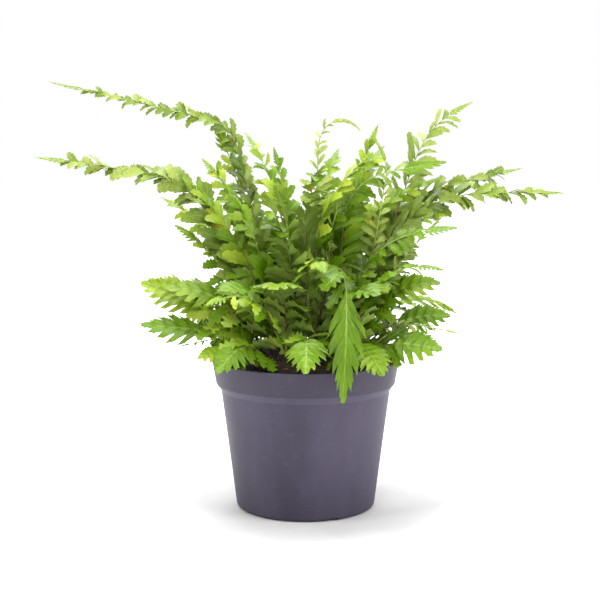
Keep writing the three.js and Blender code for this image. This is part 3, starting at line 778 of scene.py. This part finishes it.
def grow_frond(row, number, tree, sets, tips, finish):
    name, kind, *_, length, width = row
    blade = {**KINDS[kind], **OWN_BLADE.get(name, {})}
    point, along, left, upper = standing_frames(*row)
    step = length / RACHIS_STEPS
    for _ in range(round(BEYOND.get(name, 0) / step)):
        point = np.vstack([point, point[-1] + along[-1] * step])
        left, upper = np.vstack([left, left[-1]]), np.vstack([upper, upper[-1]])
        length += step
    mesh = bpy.data.meshes.new(name)
    mesh.from_pydata([tuple(p * MM) for p in point], [(i, i + 1) for i in range(len(point) - 1)], [])
    for attribute, values in (("left", left), ("upper", upper)):
        mesh.attributes.new(attribute, "FLOAT_VECTOR", "POINT").data.foreach_set(
            "vector", values.astype(np.float32).ravel()
        )
    room = (blade["tip_start"] - blade["leaf_start"]) * length
    half = blade["half_width"] * width
    return grown(new_object(name + "_green", mesh), tree, {
        "Leaflets": sets[blade["set"]], "Tip": tips[blade["tip"]][number % len(tips[blade["tip"]])],
        "Pairs": max(2, round(room / blade["spacing"])), "Length": length * MM,
        "Leaf Start": blade["leaf_start"], "Tip Start": blade["tip_start"],
        "Leaflet Length": half * blade["pinna"] * MM, "Least Leaflet": blade["least"],
        "Tip Half Width": half * blade["tip_half"] * MM,
        "Lean Foot": blade["lean"][0], "Lean Tip": blade["lean"][1],
        "Droop": blade["droop"], "Stalk Radius": GREEN_STALK["radius"] * MM,
        "Stalk Tip Radius": GREEN_STALK["tip_radius"] * MM, "Ruffle": RUFFLE * MM,
        "Seed": SEEDS["fronds"] + number, "Finish": finish,
        # the frond's tone is partly painted shade: the middle fronds, inside the clump, get deeper greens
        "Tone With Shade": blade.get("tone", random.Random(number).uniform(*TONES_WITH_PAINTED_SHADE[name.split("_")[0]])),
    })


# ------------------------------------------------------------------ finishes

def linear(red, green, blue):
    """A colour as it looks, from 0 to 255, in the renderer's linear light."""
    def part(value):
        value /= 255
        return value / 12.92 if value <= 0.04045 else ((value + 0.055) / 1.055) ** 2.4
    return (part(red), part(green), part(blue), 1)


def mottle_group():
    """Soft patches: a mask from 0 to 1 at a given scale, in patches per metre."""
    group, t, given = new_group("mottle", "Shader", [
        ("Vector", "Vector"), ("Scale", "Float", 100.0), ("Low", "Float", 0.35), ("High", "Float", 0.65),
    ], [("Mask", "Float")])
    cloud = t.node("ShaderNodeTexNoise", {
        "Vector": given["Vector"], "Scale": given["Scale"], "Detail": 3.0, "Roughness": 0.6,
    })
    t.node("NodeGroupOutput", {"Mask": t.ranged(cloud, given["Low"], given["High"])})
    return group


def veins_group():
    """A leaf's midrib and side veins from its own map: a line mask and a height for bumps."""
    group, t, given = new_group("veins", "Shader", [("Map", "Vector"), ("Side Veins", "Float", 7.0)],
                                [("Midrib", "Float"), ("Line", "Float"), ("Height", "Float")])
    u, v, _ = t.apart(given["Map"])
    away = t.math("ABSOLUTE", t.minus(v, 0.5))
    midrib = t.ranged(away, 0.0, 0.06, 1.0, 0.0)
    swept = t.minus(u, t.times(away, 0.55))
    wave = t.math("PINGPONG", t.times(swept, given["Side Veins"]), 0.5)
    line = t.ranged(wave, 0.0, 0.16, 1.0, 0.0)
    height = t.minus(t.times(line, -0.5), t.times(midrib, 0.8))
    t.node("NodeGroupOutput", {"Midrib": midrib, "Line": line, "Height": height})
    return group


def new_finish(name):
    material = bpy.data.materials.new(name)
    material.use_nodes = True
    material.node_tree.nodes.clear()
    t = Tree(material.node_tree)
    place = t.node("ShaderNodeTexCoord").outputs["Object"]
    return material, t, place


def grouped(t, group, inputs):
    node = t.node("ShaderNodeGroup", node_tree=group)
    for key, value in inputs.items():
        t.feed(node.inputs[key], value)
    return node.outputs


def mottled(t, groups, place, scale, low, high):
    """The mottle mask at a place."""
    inputs = {"Vector": place, "Scale": scale, "Low": low, "High": high}
    return grouped(t, groups["mottle"], inputs)["Mask"]


def principled(t, colour, rough, relief, strength, distance, **more):
    """A surface with bumps of this relief, strength and depth in metres."""
    bump = t.node("ShaderNodeBump", {"Strength": strength, "Distance": distance, "Height": relief})
    return t.node("ShaderNodeBsdfPrincipled", {
        "Base Color": colour, "Roughness": rough, "Normal": bump, **more,
    })


def finish_with(t, shader):
    t.node("ShaderNodeOutputMaterial", {"Surface": shader})


def attribute(t, name):
    return t.node("ShaderNodeAttribute", attribute_name=name, attribute_type="GEOMETRY").outputs["Fac"]


def leaf_finish(name, groups, deep, middle, bright, under, glow):
    """Green blades over brown to green stalks. Every leaflet has a tone between deep and bright: its own
    at random, over its frond's, which is partly painted shade.
    """
    material, t, place = new_finish(name)
    tone, along, blade, back, age = (attribute(t, n) for n in ("tone", "along", "blade", "under", "age"))
    uv = t.node("ShaderNodeUVMap", uv_map="UVMap")
    veins = grouped(t, groups["veins"], {"Map": uv})
    patches = mottled(t, groups, place, 55.0, 0.3, 0.7)
    flecks = mottled(t, groups, place, 420.0, 0.45, 0.75)
    # the frond's tone brings painted shade into this mix
    lit = t.plus(t.times(tone, 0.75), t.times(patches, 0.2))
    lit = t.plus(lit, t.times(t.ranged(along, 0.3, 1.0), 0.2), clamp=True)
    # a few leaflets yellow at their edges
    spent = t.times(t.ranged(age, 0.975, 0.985), t.ranged(flecks, 0.1, 0.8))
    green = t.layers(
        deep, (t.ranged(lit, 0.0, 0.5), middle), (t.ranged(lit, 0.45, 1.0), bright),
        (t.times(veins["Line"], 0.22), bright), (t.times(veins["Midrib"], 0.35), linear(176, 200, 96)),
        (t.times(flecks, 0.25), deep), (t.times(back, 0.45), under),
        (t.times(spent, 0.7), linear(206, 150, 40)),
    )
    stalk = t.layers(
        linear(52, 40, 34), (t.ranged(along, 0.0, 0.5), linear(92, 84, 50)),
        (t.ranged(along, 0.4, 0.75), linear(128, 150, 66)), (t.times(flecks, 0.4), linear(60, 46, 36)),
    )
    colour = t.mix(blade, stalk, green)
    gloss = {"IOR": 1.45, "Specular IOR Level": 0.32}
    surface = principled(t, colour, t.lerp(patches, 0.3, 0.46), veins["Height"], 0.5, 0.00025, **gloss)
    through = t.node("ShaderNodeBsdfTranslucent", {"Color": t.mix(0.5, colour, glow)})
    share = t.times(blade, 0.32)
    finish_with(t, t.node("ShaderNodeMixShader", {0: share, 1: surface, 2: through}))
    return material


# Heights, in metres, between which the painted highlight on the pot's shoulder comes in and goes out, and
# its darker collar comes in.
SHOULDER_HIGHLIGHT_START, SHOULDER_HIGHLIGHT_END, COLLAR_START = (0.0757, 0.0769), (0.0799, 0.0808), (0.0802, 0.0814)


def pot_finish(groups):
    """Dark purplish-grey moulded plastic, matt, with cloudy tone, dust and fine scuffs that run round it;
    a painted highlight, a lighter band round the shoulder where the light from above catches it; a darker
    collar; darker towards the bottom.
    """
    material, t, place = new_finish("pot_plastic")
    wide = t.vector("MULTIPLY", place, (1.0, 1.0, 0.35))
    clouds = mottled(t, groups, wide, 26.0, 0.3, 0.72)
    fine = mottled(t, groups, place, 900.0, 0.3, 0.7)
    dust = mottled(t, groups, place, 170.0, 0.55, 0.8)
    stretched = t.vector("MULTIPLY", place, (1.0, 1.0, 9.0))
    rub = mottled(t, groups, stretched, 70.0, 0.62, 0.78)
    height = t.apart(place)[2]
    low_down = t.ranged(height, 0.0, 0.03, 1.0, 0.0)
    # painted highlight: the shoulder band is lightened as if the light from above caught it
    shoulder = t.times(t.ranged(height, *SHOULDER_HIGHLIGHT_START), t.ranged(height, *SHOULDER_HIGHLIGHT_END, 1.0, 0.0))
    collar = t.ranged(height, *COLLAR_START)
    grey = t.layers(
        linear(46, 42, 56), (clouds, linear(60, 55, 71)),
        (t.times(shoulder, t.lerp(fine, 0.25, 0.45)), linear(88, 84, 100)),
        (t.times(collar, 0.5), linear(42, 39, 49)), (t.times(rub, 0.18), linear(88, 85, 100)),
        (t.times(dust, 0.22), linear(78, 74, 84)), (t.times(low_down, 0.25), linear(42, 39, 48)),
    )
    rough = t.plus(t.lerp(clouds, 0.46, 0.58), t.times(rub, 0.1))
    relief = t.plus(fine, t.times(rub, 0.6))
    finish_with(t, principled(t, grey, rough, relief, 0.25, 0.0002, **{"Specular IOR Level": 0.24}))
    return material


def earth_finish(name, groups, dark, brown, pale, scale):
    """Peaty earth or bark: dark crumbs with brown and pale ones among them, by each one's tone."""
    material, t, place = new_finish(name)
    tone = attribute(t, "tone")
    clumps = mottled(t, groups, place, scale, 0.35, 0.65)
    grit = mottled(t, groups, place, scale * 6, 0.4, 0.7)
    colour = t.layers(
        dark, (t.times(clumps, 0.6), brown), (t.ranged(tone, 0.35, 0.9), brown),
        (t.ranged(tone, 0.93, 0.97), pale), (t.times(grit, 0.5), dark),
    )
    relief = t.plus(clumps, t.times(grit, 0.5))
    finish_with(t, principled(t, colour, t.lerp(grit, 0.78, 0.95), relief, 0.7, 0.0008))
    return material


# ------------------------------------------------------------------ pot

def lathe(name, profile, segments):
    """A closed solid turned about Z from (radius, height) pairs in millimetres."""
    mesh = bpy.data.meshes.new(name)
    work = bmesh.new()
    rings = []
    for radius, height in profile:
        if radius == 0:
            rings.append([work.verts.new((0, 0, height * MM))])
            continue
        rings.append([work.verts.new((x, y, height * MM)) for x, y in circle(radius * MM, segments)])
    for a, b in zip(rings, rings[1:]):
        for i, j in ring_pairs(segments):
            ring = [a[i % len(a)], a[j % len(a)], b[j % len(b)], b[i % len(b)]]
            work.faces.new(list(dict.fromkeys(ring)))
    bmesh.ops.recalc_face_normals(work, faces=work.faces)
    work.to_mesh(mesh)
    work.free()
    mesh.polygons.foreach_set("use_smooth", [True] * len(mesh.polygons))
    return new_object(name, mesh)


def arc(radius, height, size, start, end, steps):
    return [
        (radius + size * math.cos(a), height + size * math.sin(a))
        for a in (math.radians(start + (end - start) * i / steps) for i in range(steps + 1))
    ]


def line(a, b, steps):
    """Points from a to b, without b."""
    return [(a[0] + (b[0] - a[0]) * i / steps, a[1] + (b[1] - a[1]) * i / steps) for i in range(steps)]


def pot_profile():
    top, rim = POT["height"], POT["rim_radius"]
    collar_foot = top - POT["collar_height"]
    body, foot, rounding = POT["body_radius"], POT["foot_radius"], POT["foot_rounding"]
    lip, wall, recess = POT["lip_rounding"], POT["wall"], BASE["recess"]
    floor_top = recess + POT["floor"]
    recess_outer = foot - BASE["ring_width"]
    shoulder = collar_foot - POT["shoulder_height"]
    collar = POT["collar_foot_radius"]
    inner_foot = foot + (body - foot) * (floor_top - rounding) / (shoulder - rounding) - wall
    return [
        (0, 0), (BASE["pad_radius"], 0), (BASE["pad_radius"] + BASE["recess_edge"], recess),
        (recess_outer - BASE["recess_edge"], recess), (recess_outer, 0),
        *arc(foot - rounding, rounding, rounding, -90, 0, 8),
        *line((foot + 0.1, rounding + 0.6), (body, shoulder), 10), (body, shoulder),
        # the shoulder, a soft S up to the collar
        (body + 0.25, shoulder + 0.7), (body + 0.75, shoulder + 1.5), (body + 1.5, shoulder + 2.5),
        (body + 2.25, shoulder + 3.4), (body + 2.8, shoulder + 4.1), (body + 3.1, shoulder + 4.6),
        (collar, collar_foot + 0.2),
        *line((collar + 0.1, collar_foot + 0.9), (rim, top - lip), 5),
        *arc(rim - lip, top - lip, lip, 0, 180, 10),
        *line((rim - 2 * lip, top - lip - 0.3), (collar - wall, collar_foot), 5),
        (collar - wall, collar_foot), (body - wall + 0.3, shoulder + 1.2),
        (body - wall, shoulder - 0.6), (inner_foot + 0.2, floor_top + 1.2), (inner_foot - 0.9, floor_top),
        (0, floor_top),
    ]


def cutter(name, profile_points, height, angle, place):
    """An upright prism that is cut away from the pot."""
    points = []
    for z in (-height, height):
        for x, y in profile_points:
            points.append((place[0] + x * math.cos(angle) - y * math.sin(angle),
                           place[1] + x * math.sin(angle) + y * math.cos(angle), place[2] + z))
    count = len(profile_points)
    faces = [tuple(range(count)), tuple(range(count, 2 * count))]
    faces += [(i, j, count + j, count + i) for i, j in ring_pairs(count)]
    mesh = mesh_from(name, [[c * MM for c in p] for p in points], faces, smooth=False)
    outward(mesh)
    return new_object(name, mesh)


def close_cuts(mesh):
    """Triangulates the faces round the cuts, and takes out the flat slivers that this leaves."""
    def triangulate(work):
        wide = [face for face in work.faces if len(face.verts) > 4]
        bmesh.ops.triangulate(work, faces=wide, ngon_method="BEAUTY")

    with edited(mesh) as work:
        triangulate(work)
        bmesh.ops.dissolve_degenerate(work, dist=2e-6, edges=work.edges)
        triangulate(work)


def around(radius, angle, height):
    """A point at an angle round the pot's axis."""
    return (radius * math.cos(angle), radius * math.sin(angle), height)


def build_pot(finish):
    pot = lathe("plastic_nursery_pot", pot_profile(), POT["segments"])
    cutters = []
    hole_circle = (BASE["pad_radius"] + POT["foot_radius"] - BASE["ring_width"]) / 2
    round_hole = circle(BASE["drain_hole_radius"], 24)
    for i in range(BASE["drain_holes"]):
        angle = 2 * math.pi * (i + 0.5) / BASE["drain_holes"]
        place = around(hole_circle, angle, BASE["recess"])
        cutters.append(cutter(f"drain_hole_{i}", round_hole, 2 * BASE["recess"], angle, place))
    across, deep = BASE["notch_width"] / 2, 1.5 * BASE["ring_width"]
    slot = [(-deep, -across), (deep, -across), (deep, across), (-deep, across)]
    for i in range(BASE["notches"]):
        angle = 2 * math.pi * (i + 0.25) / BASE["notches"]
        out = POT["foot_radius"] - POT["foot_rounding"] / 2
        place = around(out, angle, 0)
        cutters.append(cutter(f"notch_{i}", slot, BASE["notch_height"], angle, place))
    bores = hidden_collection("pot_cutters", cutters)
    cut = pot.modifiers.new("cut", "BOOLEAN")
    cut.operand_type = "COLLECTION"
    cut.collection = bores
    cut.solver = "EXACT"
    settled(pot, finish)
    for obj in cutters:
        bpy.data.objects.remove(obj)
    close_cuts(pot.data)
    return pot


# ------------------------------------------------------------------ soil and crown

def soil_height(radius):
    share = min(1, max(0, (radius - CROWN["radius"]) / (POT["body_radius"] - CROWN["radius"])))
    return POT["height"] - SOIL["headspace"] + SOIL["mound"] * (1 - share * share)


def lumpy_top(name, rings, segments, foot_profile, edge_radius, height_at):
    """A closed body: a smooth wall below, and a lumpy top that closes at the middle."""
    points, faces = [], []
    for radius, height in foot_profile:
        points += [(x, y, height) for x, y in circle(radius, segments)]
    for k in range(1, rings):
        points += [(x, y, height_at(x, y)) for x, y in circle(edge_radius * (1 - k / rings), segments)]
    rows = len(foot_profile) + rings - 1
    for r in range(rows - 1):
        row, over = r * segments, (r + 1) * segments
        faces += [(row + i, row + j, over + j, over + i) for i, j in ring_pairs(segments)]
    points += [(0, 0, foot_profile[0][1]), (0, 0, height_at(0, 0))]
    bottom, top = len(points) - 2, len(points) - 1
    last = (rows - 1) * segments
    faces += [(i, j, bottom) for i, j in ring_pairs(segments)]
    faces += [(last + i, last + j, top) for i, j in ring_pairs(segments)]
    mesh = mesh_from(name, [[c * MM for c in p] for p in points], faces)
    outward(mesh)
    return new_object(name, mesh)


def crumb(name, rng, stretch, size):
    """A small closed crumb, chip or scale."""
    work = bmesh.new()
    bmesh.ops.create_icosphere(work, subdivisions=1, radius=1)
    for v in work.verts:
        stretched = Vector([c * share for c, share in zip(v.co, stretch)])
        v.co = stretched * rng.uniform(0.75, 1.2)
    bmesh.ops.scale(work, vec=(size, size, size), verts=work.verts)
    mesh = bpy.data.meshes.new(name)
    work.to_mesh(mesh)
    work.free()
    return new_object(name, mesh)


def scatter_tree():
    """Strews pieces of a collection over the faces that look up, each with its own tone."""
    group, t, given = new_group("strewn", "Geometry", [
        ("Geometry", "Geometry"), ("Pieces", "Collection"), ("Per Square Metre", "Float", 1e5),
        ("Least Size", "Float", 0.6), ("Greatest Size", "Float", 1.4), ("Tilt", "Float", 3.1),
        ("Seed", "Int", 0), ("Finish", "Material"),
    ], [("Geometry", "Geometry")])
    up = t.apart(t.node("GeometryNodeInputNormal"))[2]
    strewn = t.node("GeometryNodeDistributePointsOnFaces", {
        "Mesh": given["Geometry"], "Selection": t.math("GREATER_THAN", up, 0.3),
        "Density": given["Per Square Metre"], "Seed": given["Seed"],
    })
    tilt = t.node("FunctionNodeRandomValue", data_type="FLOAT_VECTOR")
    t.feed(tilt.inputs[0], t.vector("SCALE", (-1.0, -1.0, -1.0), given["Tilt"]))
    t.feed(tilt.inputs[1], t.vector("SCALE", (1.0, 1.0, 1.0), given["Tilt"]))
    t.feed(tilt.inputs["Seed"], given["Seed"])
    size = t.random(given["Least Size"], given["Greatest Size"], t.plus(given["Seed"], 1.0))
    tone = t.random(0.0, 1.0, t.plus(given["Seed"], 2.0))
    turned = t.node("FunctionNodeRotateRotation", {
        "Rotation": strewn.outputs["Rotation"],
        "Rotate By": t.node("FunctionNodeEulerToRotation", {0: tilt}),
    }, rotation_space="LOCAL")
    laid = t.node("GeometryNodeInstanceOnPoints", {
        "Points": strewn.outputs["Points"], "Instance": t.children(given["Pieces"]),
        "Pick Instance": True, "Rotation": turned, "Scale": size,
    })
    laid = t.stored(laid, "tone", tone, "INSTANCE")
    t.dress(t.joined(given["Geometry"], laid), given["Finish"])
    return group


def build_soil(tree, finish):
    wall, body = POT["wall"] + 0.35, POT["body_radius"]
    collar_foot = POT["height"] - POT["collar_height"]
    shoulder = collar_foot - POT["shoulder_height"]
    bottom = BASE["recess"] + POT["floor"] + 0.3
    edge = POT["height"] - SOIL["headspace"]
    share = (edge - collar_foot) / POT["collar_height"]
    collar_radius = POT["collar_foot_radius"]
    edge_radius = collar_radius + (POT["rim_radius"] - collar_radius) * share - wall
    foot_profile = [
        (POT["foot_radius"] - wall - 1.0, bottom), (body - wall, shoulder - 1),
        (collar_radius - wall, collar_foot + 0.2), (edge_radius, edge - 0.4),
    ]

    def height_at(x, y):
        lump = noise.noise(Vector((x, y, 4.0)) * 0.11) + 0.6 * noise.noise(Vector((x, y, 9.0)) * 0.32)
        calm = min(1, (edge_radius - math.hypot(x, y)) / 4)
        under_crown = 0.35 if math.hypot(x, y) < CROWN["radius"] - 1 else 1
        lift = min(0.5, SOIL["lumps"] * lump * calm * under_crown)
        return soil_height(math.hypot(x, y)) + lift - (0.4 if under_crown < 1 else 0)

    soil = lumpy_top("peaty_soil", SOIL["rings"], SOIL["segments"], foot_profile, edge_radius, height_at)
    rng = random.Random(SEEDS["crumbs"])
    bits = [
        crumb(f"crumb_{i}", rng, (1, rng.uniform(0.6, 1), rng.uniform(0.5, 0.9)), 0.55 * MM)
        for i in range(5)
    ]
    bits += [crumb(f"fibre_{i}", rng, (5.5, 0.3, 0.3), 0.6 * MM) for i in range(2)]
    return grown(soil, tree, {
        "Pieces": hidden_collection("crumbs", bits), "Per Square Metre": 2.6e5, "Least Size": 0.5,
        "Greatest Size": 1.5, "Tilt": 0.6, "Seed": SEEDS["strewn_crumbs"], "Finish": finish,
    })


def build_crown(tree, finish):
    """The knot of stalk feet, a low dome covered with brown scales."""
    radius, foot = CROWN["radius"], soil_height(0) + 0.3

    def height_at(x, y):
        share = min(1, math.hypot(x, y) / radius)
        lump = noise.noise(Vector((x, y, 1.0)) * 0.16)
        return foot + CROWN["height"] * math.sqrt(1 - share * share) - 0.45 + 0.35 * lump

    crown = lumpy_top("scaly_crown", 22, 72, [(radius - 0.6, foot)], radius - 0.6, height_at)
    rng = random.Random(SEEDS["scales"])
    scales = [crumb(f"scale_{i}", rng, (1.9, 0.6, 0.18), 0.9 * MM) for i in range(4)]
    return grown(crown, tree, {
        "Pieces": hidden_collection("scales", scales), "Per Square Metre": 1.6e5, "Least Size": 0.6,
        "Greatest Size": 1.3, "Tilt": 0.7, "Seed": SEEDS["strewn_scales"], "Finish": finish,
    })


# ------------------------------------------------------------------ put together

groups = {"mottle": mottle_group(), "veins": veins_group()}
finishes = {
    "pot_plastic": pot_finish(groups),
    "soil": earth_finish(
        "soil", groups, linear(17, 14, 12), linear(44, 34, 27), linear(132, 120, 104), 260.0
    ),
    "crown": earth_finish(
        "crown", groups, linear(34, 24, 17), linear(84, 58, 38), linear(120, 96, 62), 420.0
    ),
    "frond": leaf_finish(
        "frond", groups, linear(30, 56, 2), linear(96, 134, 4), linear(166, 186, 54),
        linear(138, 152, 82), linear(148, 174, 10),
    ),
    "frond_pale": leaf_finish(
        "frond_pale", groups, linear(60, 86, 22), linear(122, 144, 52), linear(172, 184, 98),
        linear(156, 166, 114), linear(152, 170, 56),
    ),
}

strewing = scatter_tree()
for piece, node, slot in (
    (build_pot(finishes["pot_plastic"]), "nursery_pot", "pot_plastic"),
    (build_soil(strewing, finishes["soil"]), "potting_soil", "soil"),
    (build_crown(strewing, finishes["crown"]), "crown", "crown"),
):
    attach(piece, "root")
    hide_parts(node)

leaflet_sets, blade_tips = make_leaflets()
frond_growth = frond_tree()
for number, row in enumerate(FRONDS):
    node, kind = row[:2]
    slot = "frond_pale" if kind == "slender" or node.startswith("long") else "frond"
    frond = grow_frond(row, number, frond_growth, leaflet_sets, blade_tips, finishes[slot])
    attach(frond, "root")
    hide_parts(node)

# ------------------------------------------------------------------ stage, lights and camera

# The floor's half width and height, in metres.
FLOOR_REACH, FLOOR_LEVEL = 6, -0.0002
# The floor goes over to plain white between these distances from the pot's axis, in metres.
WHITE_FROM, WHITE_BY = 0.075, 0.27
# name: place, the point that it looks at, width and height in metres, watts
SOFTBOXES = {
    "key_softbox": ((-0.1, 0.2, 1.6), (0, 0, 0.12), (0.9, 0.9), 47),
    "fill_softbox": ((1.1, -0.6, 0.6), (0, 0, 0.12), (0.7, 0.9), 22),
    "left_softbox": ((-1.1, -0.4, 0.5), (0, 0, 0.1), (0.6, 0.9), 13),
    "front_softbox": ((-0.2, -1.5, 0.9), (0, 0, 0.1), (0.9, 0.7), 14),
    "back_softbox": ((0.2, 1.1, 1.2), (0, 0, 0.15), (1.0, 0.7), 12),
}
CAMERA = {"lens": 80.4, "sensor": 36, "place": (-0.0036, -0.85, 0.237), "tilt": 83.05}

corners = [
    (x * FLOOR_REACH, y * FLOOR_REACH, FLOOR_LEVEL) for x, y in ((-1, -1), (1, -1), (1, 1), (-1, 1))
]
floor = new_object("studio_floor", mesh_from("studio_floor", corners, [(0, 1, 2, 3)]))
paper, t, place = new_finish("studio_paper")
tooth = mottled(t, groups, place, 30.0, 0.35, 0.65)
away = t.vector("LENGTH", place, out="Value")
finish_with(t, t.node("ShaderNodeBsdfPrincipled", {
    "Base Color": t.mix(tooth, (0.47, 0.47, 0.47, 1), (0.49, 0.49, 0.49, 1)), "Roughness": 0.9,
    "Emission Color": (1, 1, 1, 1), "Emission Strength": t.ranged(away, WHITE_FROM, WHITE_BY, 0.0, 1.0),
}))
floor.data.materials.append(paper)

world = bpy.data.worlds.new("studio")
world.use_nodes = True
sky = Tree(world.node_tree)
seen = sky.node("ShaderNodeLightPath").outputs["Is Camera Ray"]
background = world.node_tree.nodes["Background"]
background.inputs["Color"].default_value = (1, 1, 1, 1)
sky.feed(background.inputs["Strength"], sky.lerp(seen, 0.62, 1.0))
bpy.context.scene.world = world
bpy.context.scene.view_settings.view_transform = "Standard"


def softbox(name, place, aim, size, watts):
    lamp = bpy.data.lights.new(name, "AREA")
    lamp.shape = "RECTANGLE"
    lamp.size, lamp.size_y = size
    lamp.energy = watts
    obj = bpy.data.objects.new(name, lamp)
    obj.location = place
    obj.rotation_euler = (Vector(aim) - Vector(place)).to_track_quat("-Z", "Y").to_euler()
    bpy.context.scene.collection.objects.link(obj)


for name, (place, aim, size, watts) in SOFTBOXES.items():
    softbox(name, place, aim, size, watts)

camera = bpy.data.objects.new("camera", bpy.data.cameras.new("camera"))
camera.data.lens = CAMERA["lens"]
camera.data.sensor_width = CAMERA["sensor"]
camera.location = CAMERA["place"]
camera.rotation_euler = (math.radians(CAMERA["tilt"]), 0, 0)
bpy.context.scene.collection.objects.link(camera)
bpy.context.scene.camera = camera
